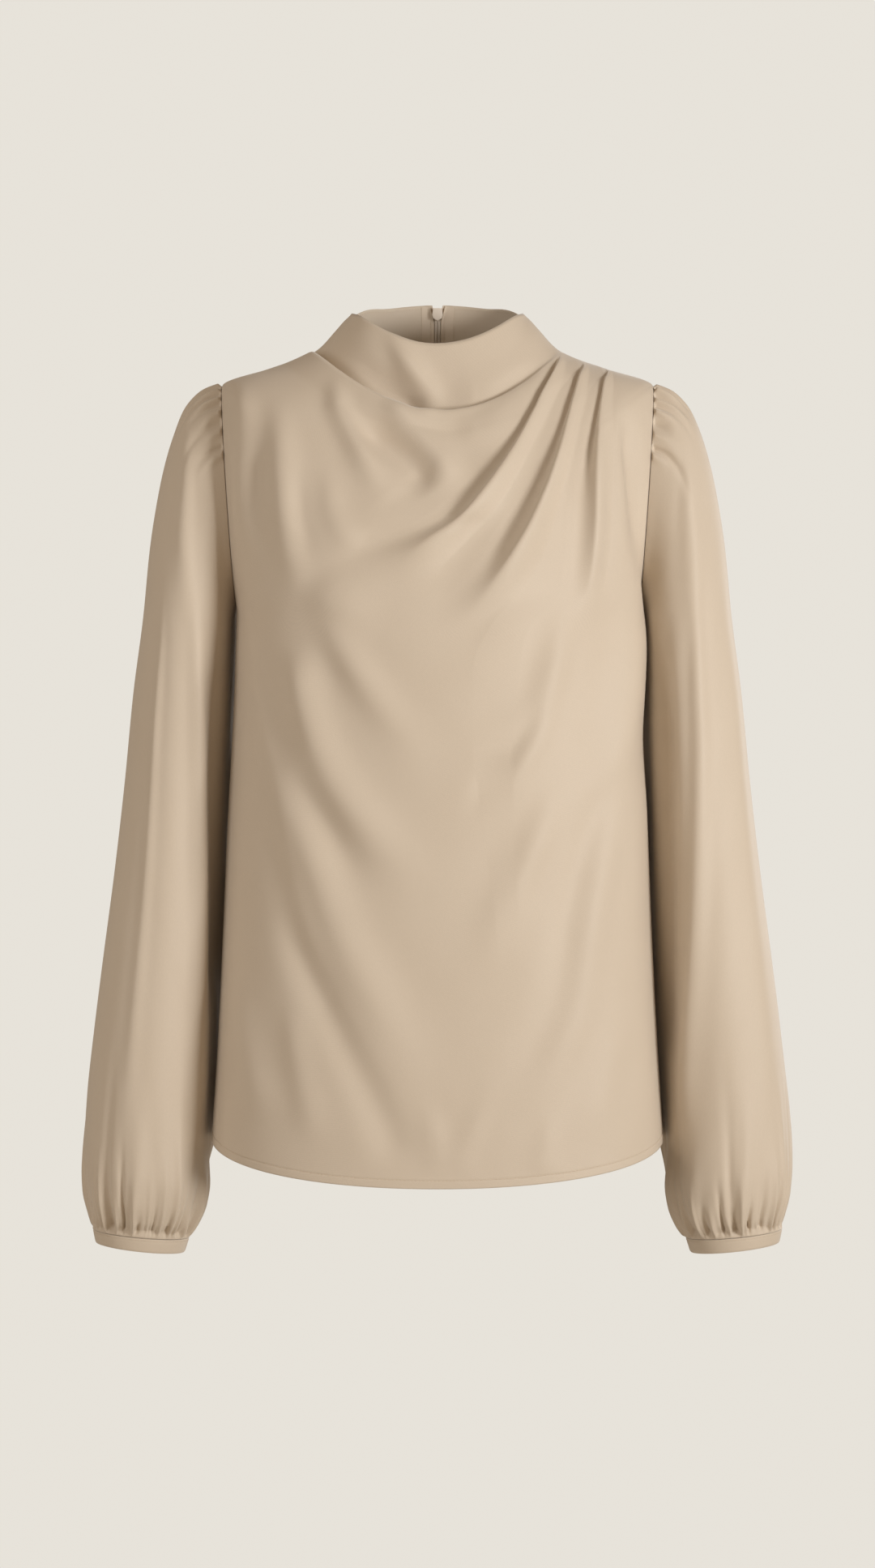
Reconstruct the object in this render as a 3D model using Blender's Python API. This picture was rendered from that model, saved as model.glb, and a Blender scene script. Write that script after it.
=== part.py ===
"""Draped blouse with a funnel neck, three shoulder pleats, bishop sleeves and a back zip.

It is held as it is worn, hollow, with no wearer. Metres, +Z up, the front facing -Y, the wearer's left
at +X. The origin is at the centre of the neck, level with the inner ends of the shoulder seams.

A body panel is a sheet over two values. "down" runs from the collar's top edge to the hem, in metres along
the centre front. "across" is 0 on the centre line and 1 or -1 on the side edges. A sleeve is a sheet over
"turn", 0 at the top and outside, a quarter turn at the front and a half turn beside the body, and "along",
0 at the armhole and 1 at the cuff.
"""

import math

import bmesh
import bpy
import numpy as np
from mathutils import Matrix

MM = 0.001

# Cloth and seams
WALL = 1.2 * MM
SEAM_GAP = 0.3 * MM
EDGE_EASE = 0.10  # the share of a panel beside an edge over which its folds run out

# Folds are laid out as they show from an eye in front of the blouse.
VIEW = 3.0
EYE_Z = -0.347

FOLD_STEPS = 48
TROUGH, TROUGH_WIDTH = 0.35, 2.2  # a fold's troughs, as shares of its rise and width

# The body's sections, from the collar's top edge to the hem.
# side_x, side_z: the shoulder seam, then the side seam.
# front_y, front_z, back_y, back_z: the centre lines.
# swing: 1 dips like a neckline, 0 like a level hem.
BODY_COLUMNS = ("down", "side_x", "side_z", "front_y", "front_z", "back_y", "back_z", "swing")
BODY_SECTIONS = (
    # down  side_x  side_z  front_y  front_z  back_y  back_z  swing
    (0.000, 0.0680, 0.0256, -0.0590, -0.0055, 0.0600, 0.0385, 1.0),  # collar's top edge
    (0.022, 0.0800, 0.0110, -0.0660, -0.0300, 0.0615, 0.0180, 1.0),  # middle of the collar
    (0.048, 0.0973, -0.0062, -0.0780, -0.0590, 0.0650, -0.0050, 1.0),  # inner end of the shoulder
    (0.083, 0.1344, -0.0205, -0.0900, -0.0840, 0.0770, -0.0330, 1.0),  # middle of the shoulder
    (0.118, 0.1700, -0.0330, -0.1010, -0.1110, 0.0890, -0.0680, 1.0),  # shoulder point
    (0.150, 0.1685, -0.0535, -0.1110, -0.1390, 0.0970, -0.1020, 0.92),
    (0.182, 0.1655, -0.1053, -0.1180, -0.1680, 0.1025, -0.1360, 0.7),
    (0.212, 0.1615, -0.1609, -0.1225, -0.1970, 0.1055, -0.1680, 0.4),
    (0.238, 0.1592, -0.1963, -0.1250, -0.2210, 0.1065, -0.1960, 0.15),
    (0.262, 0.1584, -0.2080, -0.1260, -0.2400, 0.1065, -0.2170, 0.0),  # underarm
    (0.300, 0.1592, -0.2400, -0.1262, -0.2720, 0.1050, -0.2500, 0.0),  # bust
    (0.360, 0.1616, -0.3040, -0.1250, -0.3330, 0.1010, -0.3130, 0.0),
    (0.425, 0.1651, -0.3680, -0.1225, -0.3950, 0.0990, -0.3780, 0.0),  # waist
    (0.508, 0.1686, -0.4512, -0.1200, -0.4780, 0.1020, -0.4620, 0.0),
    (0.592, 0.1725, -0.5344, -0.1185, -0.5630, 0.1070, -0.5480, 0.0),  # hip
    (0.685, 0.1779, -0.6240, -0.1180, -0.6545, 0.1100, -0.6480, 0.0),  # hem
)
SHOULDER_POINT, UNDERARM, HEM = 0.118, 0.262, 0.685

# The armhole is an oval from the shoulder point, round the front and the back, to the underarm.
ARMHOLE_TOP = (0.1700, -0.0330)  # x, z
ARMHOLE_FOOT = (0.1584, -0.2080)
ARMHOLE_FRONT, ARMHOLE_BACK = 0.0455, 0.0435
SQUARENESS = {"front": 2.4, "back": 2.0}  # a section's power: 2 is an ellipse, and more is squarer
EVENED = 24 * MM  # the armhole's ends are felt over this much of the cloth, up and down


# The three pleats of the wearer's left shoulder. Each turns under along a path of x, z in mm, as seen from
# the eye.
# start, full, fading, gone: the shares down where it opens, is full, starts to fade and has gone.
# Then come its half width and rise in metres, and its path.
PLEATS = (
    (0.050, 0.057, 0.155, 0.228, 26 * MM, 10.0 * MM,
     ((97, -6), (92, -18), (72, -48), (48, -83), (26, -113), (4, -137), (-16, -151), (-40, -163),
      (-74, -178), (-88, -205), (-84, -250), (-68, -320), (-50, -400), (-42, -500), (-36, -656))),
    (0.066, 0.075, 0.190, 0.275, 26 * MM, 10.0 * MM,
     ((114, -16), (106, -50), (85, -102), (64, -146), (42, -178), (20, -205), (3, -228), (-6, -262),
      (0, -310), (10, -380), (22, -500), (30, -656))),
    (0.082, 0.091, 0.165, 0.265, 20 * MM, 6.5 * MM,
     ((133, -20), (125, -60), (120, -102), (119, -149), (115, -196), (108, -240), (100, -300), (96, -380),
      (96, -500), (100, -656))),
)
# A pleat's section from the cloth below it to the cloth on top, where it is folded and where it has opened.
# place: along the section. side: sideways, in half widths. lift: outwards, as a share of its rise.
PLEAT_SECTION_COLUMNS = ("place", "side", "lift", "open_side", "open_lift")
PLEAT_SECTION = (
    (-1.0, -1.0, 0.0, -1.0, 0.0), (-0.6, -0.24, -0.1, -0.50, -0.04), (-0.2, 0.06, -0.2, -0.12, 0.30),
    (0.2, -0.08, 0.6, 0.04, 0.90), (0.6, 0.10, 1.0, 0.36, 0.84), (1.0, 1.0, 0.05, 1.0, 0.04),
)
PLEAT_ROOM = 0.46  # the most of the way to the next pleat that one takes
PLEAT_LEAST = (0.86, 0.91, 0.955)  # where the pleats' lines run above their starts
PLEAT_MOST = (0.90, 0.945, 0.975)
PRESSED, SWELL = 0.30, 0.09  # a pleat is pressed flat at its top, and opens over this much of its length
STEEPEST = 2.4  # the most that a slanting pleat's section is widened
PLEAT_LEAD = 12 * MM  # a pleat's line turns from its place above its start over this much

# The cowl: the cloth below the collar rolls up over it.
# down: the row. shift, lift: how far it moves down the panel and outwards, in mm.
COWL_SECTION = (
    (0.0120, 0.0, -1.5), (0.0240, 0.0, -5.0), (0.0340, 0.0, -10.0), (0.0410, 1.5, -14.0),
    (0.0455, 4.0, -17.0), (0.0480, 0.8, -8.0), (0.0502, -2.6, 1.4), (0.0540, -1.2, 3.8), (0.0720, 0.0, 0.0),
)
# across: how much of the cowl shows there.
COWL_REACH = (
    (-1.0, 0.0), (-0.93, 0.35), (-0.8, 0.62), (-0.6, 0.9), (-0.35, 1.0), (-0.08, 1.0), (0.08, 0.62),
    (0.22, 0.30), (0.45, 0.16), (0.75, 0.08), (1.0, 0.0),
)

# The front's soft folds: rise, width, start, end and path.
# rise is outwards, or inwards below 0. width is to where a fold has dropped to 0.6 of it.
# start, end: the shares of its length over which it runs in and out.
# path: x, z in mm, as seen from the eye.
FRONT_FOLDS = (
    (6.0 * MM, 9 * MM, 0.15, 0.55, ((-119, -38), (-121, -78), (-120, -120), (-117, -163), (-112, -205))),
    (3.0 * MM, 8 * MM, 0.2, 0.5, ((-150, -70), (-151, -110), (-149, -165), (-146, -215))),
    (5.0 * MM, 7 * MM, 0.2, 0.5, ((-90, -30), (-88, -51), (-79, -75), (-65, -96), (-50, -115), (-38, -132))),
    (7.0 * MM, 8 * MM, 0.25, 0.3, ((-64, -42), (-44, -60), (-27, -74), (-12, -86), (-1, -99), (6, -117))),
    (3.0 * MM, 7 * MM, 0.4, 0.4, ((-102, -106), (-95, -138), (-84, -166), (-70, -182))),
    (3.5 * MM, 9 * MM, 0.3, 0.5, ((13, -61), (32, -67), (51, -58), (70, -35))),
    (6.5 * MM, 10 * MM, 0.4, 0.6,
     ((-96, -212), (-80, -234), (-61, -262), (-42, -288), (-20, -314), (2, -332))),
    (9.0 * MM, 12 * MM, 0.15, 0.5,
     ((-113, -238), (-109, -270), (-97, -304), (-80, -338), (-60, -371), (-40, -404), (-20, -436),
      (0, -464))),
    (5.0 * MM, 5 * MM, 0.35, 0.35,
     ((-148, -240), (-142, -280), (-134, -322), (-126, -364), (-117, -406), (-107, -446), (-97, -484),
      (-86, -518), (-74, -550))),
    (7.0 * MM, 12 * MM, 0.3, 0.45,
     ((-125, -318), (-115, -354), (-106, -387), (-97, -420), (-87, -458), (-77, -492), (-66, -528),
      (-50, -566), (-34, -600))),
    (5.0 * MM, 9 * MM, 0.35, 0.3, ((-158, -440), (-153, -500), (-146, -552), (-138, -596), (-128, -630))),
    (5.5 * MM, 8 * MM, 0.4, 0.3, ((-126, -492), (-119, -530), (-110, -564), (-99, -602), (-90, -640))),
    (4.5 * MM, 10 * MM, 0.5, 0.4, ((-66, -520), (-56, -556), (-42, -588), (-28, -618), (-18, -645))),
    (4.0 * MM, 10 * MM, 0.5, 0.5, ((64, -189), (54, -234), (36, -272), (13, -304))),
    (6.0 * MM, 9 * MM, 0.3, 0.5,
     ((104, -196), (97, -232), (91, -260), (83, -286), (73, -312), (60, -338), (45, -364), (28, -390))),
    (4.0 * MM, 10 * MM, 0.4, 0.5, ((96, -340), (86, -372), (72, -405), (58, -436), (42, -470), (28, -505))),
    (-5.0 * MM, 8 * MM, 0.3, 0.5, ((143, -60), (147, -105), (149, -160), (147, -215))),
    (12.0 * MM, 11 * MM, 0.2, 0.35,
     ((157, -150), (157, -190), (155, -230), (151, -272), (144, -317), (136, -356), (128, -394),
      (120, -432), (112, -474), (103, -520), (90, -558), (76, -592), (64, -618))),
    (6.0 * MM, 8 * MM, 0.35, 0.2, ((-47, 18), (-38, 8), (-28, -4), (-14, -24), (-4, -38), (5, -52))),
    (-4.0 * MM, 12 * MM, 0.5, 0.5, ((60, -150), (42, -176), (24, -200), (6, -222), (-8, -238))),
    (-3.5 * MM, 12 * MM, 0.5, 0.5, ((-10, -152), (-36, -164), (-64, -176), (-92, -200))),
    (3.0 * MM, 9 * MM, 0.3, 0.5, ((163, -300), (160, -360), (154, -430), (146, -500), (136, -560))),
    (4.0 * MM, 10 * MM, 0.4, 0.4, ((146, -520), (138, -560), (128, -600), (120, -640))),
    (4.5 * MM, 9 * MM, 0.5, 0.2, ((-29, -547), (-10, -605), (1, -654))),
    (4.5 * MM, 9 * MM, 0.5, 0.2, ((60, -547), (32, -605), (13, -654))),
    (2.2 * MM, 7 * MM, 0.5, 0.2, ((-72, -596), (-64, -628), (-60, -659))),
    (2.2 * MM, 7 * MM, 0.5, 0.2, ((92, -600), (86, -632), (84, -659))),
)
# The back's soft folds, on each half. path: across, down.
BACK_FOLDS = {
    "left": (
        (5.5 * MM, 11 * MM, 0.3, 0.4, ((0.80, 0.14), (0.72, 0.19), (0.60, 0.25), (0.44, 0.30))),
        (5.0 * MM, 10 * MM, 0.3, 0.4, ((0.82, 0.29), (0.74, 0.33), (0.64, 0.37), (0.48, 0.41), (0.32, 0.43))),
        (6.5 * MM, 11 * MM, 0.3, 0.3, ((0.80, 0.38), (0.72, 0.43), (0.58, 0.49), (0.42, 0.53))),
        (5.0 * MM, 12 * MM, 0.3, 0.3, ((0.34, 0.09), (0.31, 0.20), (0.30, 0.33))),
        (6.0 * MM, 11 * MM, 0.4, 0.3, ((0.80, 0.50), (0.72, 0.57), (0.62, 0.63), (0.55, 0.67))),
    ),
    "right": (
        (6.0 * MM, 10 * MM, 0.3, 0.5, ((0.80, 0.17), (0.70, 0.23), (0.54, 0.29), (0.34, 0.33))),
        (5.5 * MM, 11 * MM, 0.3, 0.4, ((0.82, 0.34), (0.72, 0.40), (0.58, 0.45), (0.46, 0.48))),
        (5.0 * MM, 10 * MM, 0.3, 0.3, ((0.78, 0.44), (0.70, 0.51), (0.60, 0.58), (0.52, 0.64))),
        (4.5 * MM, 11 * MM, 0.3, 0.3, ((0.42, 0.08), (0.38, 0.17), (0.40, 0.27))),
        (4.5 * MM, 12 * MM, 0.4, 0.3, ((0.30, 0.40), (0.28, 0.50), (0.32, 0.62))),
    ),
}

# The sleeve's rings, from the armhole to the cuff's seam.
# out_x, out_z: the ring's top or outer end. in_x, in_z: its end beside the body.
# front, back: its reach in y.
# behind: how far its inner back reaches behind the body's side.
SLEEVE_COLUMNS = ("along", "out_x", "out_z", "in_x", "in_z", "front", "back", "behind")
SLEEVE_RINGS = (
    # along  out_x   out_z    in_x    in_z    front   back    behind
    (0.000, 0.1703, -0.0330, 0.1587, -0.2080, 0.0455, 0.0435, 0.000),
    (0.030, 0.1860, -0.0390, 0.1602, -0.2135, 0.0480, 0.0460, 0.002),
    (0.070, 0.2008, -0.0545, 0.1614, -0.2220, 0.0510, 0.0490, 0.008),
    (0.120, 0.2110, -0.0800, 0.1624, -0.2360, 0.0535, 0.0515, 0.013),
    (0.180, 0.2190, -0.1120, 0.1640, -0.2560, 0.0550, 0.0530, 0.017),
    (0.260, 0.2268, -0.1600, 0.1658, -0.2860, 0.0555, 0.0540, 0.020),
    (0.350, 0.2322, -0.2150, 0.1680, -0.3220, 0.0555, 0.0540, 0.020),
    (0.450, 0.2400, -0.2750, 0.1700, -0.3700, 0.0550, 0.0535, 0.023),
    (0.550, 0.2468, -0.3450, 0.1724, -0.4250, 0.0545, 0.0530, 0.024),
    (0.650, 0.2548, -0.4150, 0.1748, -0.4800, 0.0545, 0.0530, 0.025),
    (0.750, 0.2640, -0.4850, 0.1774, -0.5380, 0.0550, 0.0535, 0.026),
    (0.830, 0.2715, -0.5450, 0.1796, -0.5860, 0.0555, 0.0545, 0.027),
    (0.890, 0.2768, -0.5950, 0.1812, -0.6280, 0.0560, 0.0550, 0.025),
    (0.935, 0.2792, -0.6400, 0.1806, -0.6580, 0.0560, 0.0550, 0.012),
    (0.965, 0.2785, -0.6680, 0.1832, -0.6790, 0.0530, 0.0520, 0.003),
    (0.985, 0.2752, -0.6860, 0.1888, -0.6945, 0.0465, 0.0455, 0.000),
    (1.000, 0.2722, -0.6975, 0.1960, -0.7048, 0.0365, 0.0360, 0.000),
)
BEHIND_TURN, BEHIND_WIDTH = 4.05, 0.35  # where round the sleeve it reaches furthest behind, in radians
SLEEVE_SIDES = {
    # The inside front of each sleeve turns back sharply from a ridge, over a hollow beside the body.
    # path: turn in degrees, along.
    "left": (
        (6.0 * MM, 6 * MM, 0.2, 0.2, ((80, 0.16), (90, 0.42), (112, 0.66), (132, 0.80), (144, 0.91))),
        (-9.0 * MM, 12 * MM, 0.2, 0.2, ((128, 0.14), (138, 0.42), (150, 0.66), (164, 0.80), (175, 0.88))),
        (4.0 * MM, 9 * MM, 0.3, 0.3, ((35, 0.20), (40, 0.50), (48, 0.80), (52, 0.95))),
        (5.0 * MM, 9 * MM, 0.3, 0.4, ((60, 0.06), (74, 0.16), (84, 0.30))),
        (5.0 * MM, 10 * MM, 0.3, 0.3, ((230, 0.20), (262, 0.45), (280, 0.72), (286, 0.94))),
        (4.5 * MM, 9 * MM, 0.3, 0.3, ((320, 0.10), (312, 0.38), (322, 0.70), (318, 0.93))),
    ),
    "right": (
        (6.0 * MM, 6 * MM, 0.2, 0.2, ((100, 0.14), (122, 0.42), (140, 0.66), (148, 0.80), (152, 0.91))),
        (-7.0 * MM, 11 * MM, 0.2, 0.2, ((136, 0.12), (152, 0.42), (168, 0.60), (176, 0.74))),
        (5.0 * MM, 6 * MM, 0.2, 0.3, ((58, 0.26), (66, 0.45), (72, 0.66), (74, 0.80), (76, 0.94))),
        (4.5 * MM, 9 * MM, 0.3, 0.4, ((52, 0.05), (72, 0.14), (92, 0.28))),
        (5.0 * MM, 10 * MM, 0.3, 0.3, ((234, 0.20), (258, 0.45), (276, 0.72), (290, 0.94))),
        (4.5 * MM, 9 * MM, 0.3, 0.3, ((324, 0.10), (314, 0.40), (318, 0.72), (324, 0.93))),
    ),
}
SLEEVE_ROUND = 0.055  # the sleeve's mean radius, and its length
SLEEVE_LENGTH = 0.62
SLEEVE_FACETS = 22
GATHERS = 11
GATHER_RISE = 1.6 * MM
GATHER_FROM, GATHER_FULL = 0.90, 0.985

# The cuff is a band with its rings as on the sleeve, cut below the sleeve's last ring.
CUFF_RINGS = (
    (0.0, 0.2722, -0.6975, 0.1960, -0.7048, 0.0365, 0.0360, 0.0),
    (1.0, 0.2700, -0.7080, 0.1996, -0.7160, 0.0340, 0.0335, 0.0),
)
CUFF_WALL = 1.8 * MM
CUFF_GAP = 0.33 * MM  # straight down, so that the slanting seam is 0.3 mm open

# Zip: tapes and coil inside the centre back, a slider at the top and its pull outside.
ZIP_LENGTH = 0.19  # down the centre back
TAPE_OUT = 13 * MM
TAPE_IN = 2.5 * MM
TAPE_WALL = 0.5 * MM
CHAIN_HALF = 2.2 * MM
CHAIN_WALL = 1.4 * MM
NOTCH_HALF = 4.5 * MM
NOTCH_DEPTH = 14 * MM
SLIDER_TOP, SLIDER_FOOT = 0.0358, 0.0268
SLIDER_HALF = 4.2 * MM
SLIDER_IN, SLIDER_WALL = 0.0579, 2.0 * MM
BRIDGE_IN, BRIDGE_WALL = 0.0612, 0.9 * MM
HINGE_Y, HINGE_Z = 0.0646, 0.0325
PIN_RADIUS = 0.65 * MM
EYE_BORE, EYE_RADIUS, EYE_HALF = 1.0 * MM, 1.7 * MM, 1.6 * MM
EAR_IN, EAR_OUT = 2.0 * MM, 2.8 * MM
WEB_HALF = 0.6 * MM
WEB_REACH, BRIDGE_REACH, EAR_REACH = 2.0 * MM, 3.2 * MM, 1.3 * MM  # up and down from the pin
JOIN = 0.4 * MM  # how far joined shapes run into each other
PULL_LENGTH, PULL_HALF, PULL_WALL = 18.5 * MM, 3.2 * MM, 1.0 * MM
PULL_NECK, NECK_TOP, NECK_FOOT = 1.3 * MM, 1.2 * MM, 4 * MM  # its neck: half width, ends from the pin
PULL_STEPS = 9  # in a quarter of its round foot
SLIDER_TIP = 1 * MM

# Grid rows and columns
FRONT_ROWS_ABOVE = (0.0,)
FRONT_ROWS_BELOW = (0.084, 0.100, 0.118, 0.134, 0.150, 0.164, 0.178, 0.194, 0.212, 0.236, 0.262, 0.290,
                    0.322, 0.358, 0.396, 0.436, 0.478, 0.522, 0.566, 0.608, 0.645, 0.670, 0.685)
FRONT_LEFT_SHARES = (0, 0.03, 0.09, 0.17, 0.26, 0.35, 0.44, 0.53, 0.62, 0.71, 0.81, 0.91)
FRONT_RIGHT_SHARES = (0.28, 0.55, 0.8, 1.0)
BACK_ROWS = (0.0, 0.005, 0.0095, 0.014, 0.022, 0.034, 0.048, 0.082, 0.118, 0.150, 0.190, 0.226, 0.262,
             0.320, 0.385, 0.450, 0.520, 0.590, 0.645, 0.685)
BACK_SHARES = (0.10, 0.20, 0.31, 0.42, 0.54, 0.66, 0.78, 0.89, 0.96, 1.0)


def table(rows, columns, name):
    """One named column of a table."""
    return np.array([row[columns.index(name)] for row in rows])


def smooth(knots, values, where):
    """A smooth curve through the knots that never overshoots them (monotone cubic)."""
    knots, values, where = np.asarray(knots, float), np.asarray(values, float), np.asarray(where, float)
    step = np.diff(knots)
    slope = np.diff(values) / step
    tangent = np.zeros(len(knots))
    tangent[0], tangent[-1] = slope[0], slope[-1]
    before, after = slope[:-1], slope[1:]
    same_way = before * after > 0
    weight = step[:-1] + 2 * step[1:], 2 * step[:-1] + step[1:]
    harmonic = (weight[0] + weight[1])[same_way] / (
        (weight[1] / np.where(same_way, before, 1) + weight[0] / np.where(same_way, after, 1))[same_way]
    )
    tangent[1:-1][same_way] = harmonic
    piece = np.clip(np.searchsorted(knots, where, side="right") - 1, 0, len(step) - 1)
    share = (where - knots[piece]) / step[piece]
    rest = 1 - share
    return (
        values[piece] * (1 + 2 * share) * rest**2
        + tangent[piece] * step[piece] * share * rest**2
        + values[piece + 1] * (3 - 2 * share) * share**2
        - tangent[piece + 1] * step[piece] * share**2 * rest
    )


def body_column(name, down):
    knots = table(BODY_SECTIONS, BODY_COLUMNS, "down")
    return smooth(knots, table(BODY_SECTIONS, BODY_COLUMNS, name), down)


def armhole(turn, bulge):
    """A point of the armhole: turn 0 at the shoulder point, pi at the underarm, and bulge its reach in y."""
    middle = np.add(ARMHOLE_TOP, ARMHOLE_FOOT) / 2
    half = np.subtract(ARMHOLE_TOP, ARMHOLE_FOOT) / 2
    return middle[0] + half[0] * np.cos(turn), bulge * np.sin(turn), middle[1] + half[1] * np.cos(turn)


def armhole_turn(down):
    return np.pi * np.clip((down - SHOULDER_POINT) / (UNDERARM - SHOULDER_POINT), 0, 1)


def forward(side):
    """The way that the front or the back faces along y."""
    return -1 if side == "front" else 1


def rounded(share, power):
    """The other side of a squared circle: for a power of 2, the cosine where the sine is the share."""
    return (1 - np.clip(share, 0, 1) ** power) ** (1 / power)


def edge_reach(side, down):
    """How far forward or back a panel's edge reaches: along the armhole only."""
    return forward(side) * (ARMHOLE_FRONT if side == "front" else ARMHOLE_BACK) * np.sin(armhole_turn(down))


def section_turn(side, down):
    """The angle that a section makes from its centre line to its edge, evened out over its neighbours."""
    reach = sum(edge_reach(side, down + share * EVENED) for share in (-1, -0.5, 0, 0.5, 1)) / 5
    return np.arcsin(rounded(reach / body_column(side + "_y", down), SQUARENESS[side]))


def panel_point(side, across, down):
    """A point of the front's or the back's outer face, without its folds."""
    across, down = np.broadcast_arrays(np.asarray(across, float), np.asarray(down, float))
    edge_x, edge_z = body_column("side_x", down), body_column("side_z", down)
    centre_y, centre_z = body_column(side + "_y", down), body_column(side + "_z", down)
    quarter = section_turn(side, down)
    angle = np.abs(across) * quarter
    out = np.sin(angle) / np.sin(quarter)
    round_share = (1 - np.cos(angle)) / (1 - np.cos(quarter))
    swing = body_column("swing", down)
    x = edge_x * out
    y = centre_y * rounded(np.sin(angle), SQUARENESS[side])
    z = centre_z + (edge_z - centre_z) * (swing * out**2 + (1 - swing) * round_share)
    # The edge follows the armhole exactly, and the cloth beside it eases towards it.
    exact_x, _, exact_z = armhole(armhole_turn(down), 0)
    beside = np.abs(across) ** 8
    on_armhole = (down >= SHOULDER_POINT) & (down <= UNDERARM)
    x = x + np.where(on_armhole, exact_x - edge_x, 0) * beside
    y = y + (edge_reach(side, down) - centre_y * rounded(np.sin(quarter), SQUARENESS[side])) * beside
    z = z + np.where(on_armhole, exact_z - edge_z, 0) * beside
    return np.stack([np.sign(across) * x, y + forward(side) * SEAM_GAP / 2, z], axis=-1)


def panel_frame(side, across, down):
    """A panel's point, its outward normal and the metres to one unit across, there."""
    nudge = 1e-4
    inside = np.clip(across, -1 + nudge, 1 - nudge)
    lower = np.clip(down, 0, HEM - nudge)
    right = panel_point(side, inside + nudge, down) - panel_point(side, inside - nudge, down)
    right = right / (2 * nudge)
    under = (panel_point(side, inside, lower + nudge) - panel_point(side, inside, lower)) / nudge
    normal = np.cross(right, under) * forward(side)
    normal = normal / np.linalg.norm(normal, axis=-1, keepdims=True)
    return panel_point(side, across, down), normal, np.linalg.norm(right, axis=-1)


def seen(point):
    """Where a point shows from the eye, as x and z on the plane y = 0."""
    nearer = VIEW / (VIEW + point[..., 1])
    return np.stack([point[..., 0] * nearer, EYE_Z + (point[..., 2] - EYE_Z) * nearer], axis=-1)


def on_front(path):
    """The shares across and down of the front's points that show along a path of x, z in mm."""
    target = np.array(path, float) * MM
    across, down = target[:, 0] / 0.17, -target[:, 1]
    nudge = 1e-4
    for _ in range(60):
        here = seen(panel_point("front", across, down))
        by_across = (seen(panel_point("front", across + nudge, down)) - here) / nudge
        by_down = (seen(panel_point("front", across, down + nudge)) - here) / nudge
        miss = target - here
        size = by_across[:, 0] * by_down[:, 1] - by_across[:, 1] * by_down[:, 0]
        step_across = (miss[:, 0] * by_down[:, 1] - miss[:, 1] * by_down[:, 0]) / size
        step_down = (by_across[:, 0] * miss[:, 1] - by_across[:, 1] * miss[:, 0]) / size
        across = np.clip(across + np.clip(step_across, -0.05, 0.05), -0.99, 0.99)
        down = np.clip(down + np.clip(step_down, -0.05, 0.05), 0.0, HEM - 2 * nudge)
    return across, down


def ease(share):
    """A smooth step from 0 at 0 to 1 at 1."""
    share = np.clip(share, 0, 1)
    return share * share * (3 - 2 * share)


def drawn(path, count):
    """A smooth line of points through a path."""
    path = np.asarray(path, float)
    along = np.linspace(0, len(path) - 1, count)
    return np.stack([smooth(np.arange(len(path)), path[:, axis], along) for axis in (0, 1)], axis=-1)


def fold_height(spots, path, rise, width, start, end):
    """The height of one soft fold at spots in the plane: a crest along a path between shallow troughs."""
    line = drawn(path, FOLD_STEPS)
    squares = ((spots[..., None, :] - line) ** 2).sum(axis=-1)
    share = squares.argmin(axis=-1) / (FOLD_STEPS - 1)
    fade = ease(share / start) * ease((1 - share) / end)
    wide = width * (0.8 + 0.5 * share)
    nearest = squares.min(axis=-1) / (2 * wide**2)
    return rise * fade * (np.exp(-nearest) - TROUGH * np.exp(-nearest / TROUGH_WIDTH**2))


def pleat_lines(down):
    """Where the pleats run across the front at each row, and how much of each is open there."""
    lines, fades = [], []
    for row, least, most in zip(PLEATS, PLEAT_LEAST, PLEAT_MOST):
        start, full, fading, gone, path = *row[:4], row[6]
        path_across, path_down = on_front(drawn(path, FOLD_STEPS))
        shown = path_down > start
        knots = np.concatenate([[0.0, start - PLEAT_LEAD], path_down[shown]])
        values = np.concatenate([[least, most], path_across[shown]])
        lines.append(np.minimum(smooth(knots, values, down), most))
        fades.append(ease((down - start) / (full - start)) * ease((gone - down) / (gone - fading)))
    return np.array(lines), np.array(fades)


def pleat_columns(rows, shares):
    """The columns that make the pleats at each row, as shares across and as rises."""
    lines, fades = pleat_lines(rows)
    section = np.array(PLEAT_SECTION)
    columns = np.transpose([smooth(section[:, 0], section[:, column], shares) for column in (1, 2, 3, 4)])
    bounds = np.vstack([lines, np.ones(len(rows))])
    base, rise = [], []
    for number, (line, fade, row) in enumerate(zip(lines, fades, PLEATS)):
        start, full, fading, _, half_width, height = row[:6]
        point, _, metres = panel_frame("front", line, rows)
        slant = np.gradient(point[:, 0], rows) / np.gradient(point[:, 2], rows)
        wanted = half_width * np.minimum(np.hypot(1, slant), STEEPEST) / metres
        left = (line - lines[number - 1]) if number else line + 1
        room = PLEAT_ROOM * np.minimum(left, bounds[number + 1] - line)
        open_half = np.minimum(wanted, room)
        half = room + (open_half - room) * ease(2 * fade)
        scale = fade * ease(open_half / wanted)
        swell = PRESSED + (1 - PRESSED) * ease((rows - start) / SWELL)
        opened = ease((rows - full) / (fading - full))
        for flat, (side, lift, open_side, open_lift) in zip(shares, columns):
            base.append(line + half * (flat + (side + (open_side - side) * opened - flat) * scale))
            rise.append(height * scale * (lift + (open_lift - lift) * opened) * swell)
    return base, rise


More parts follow.
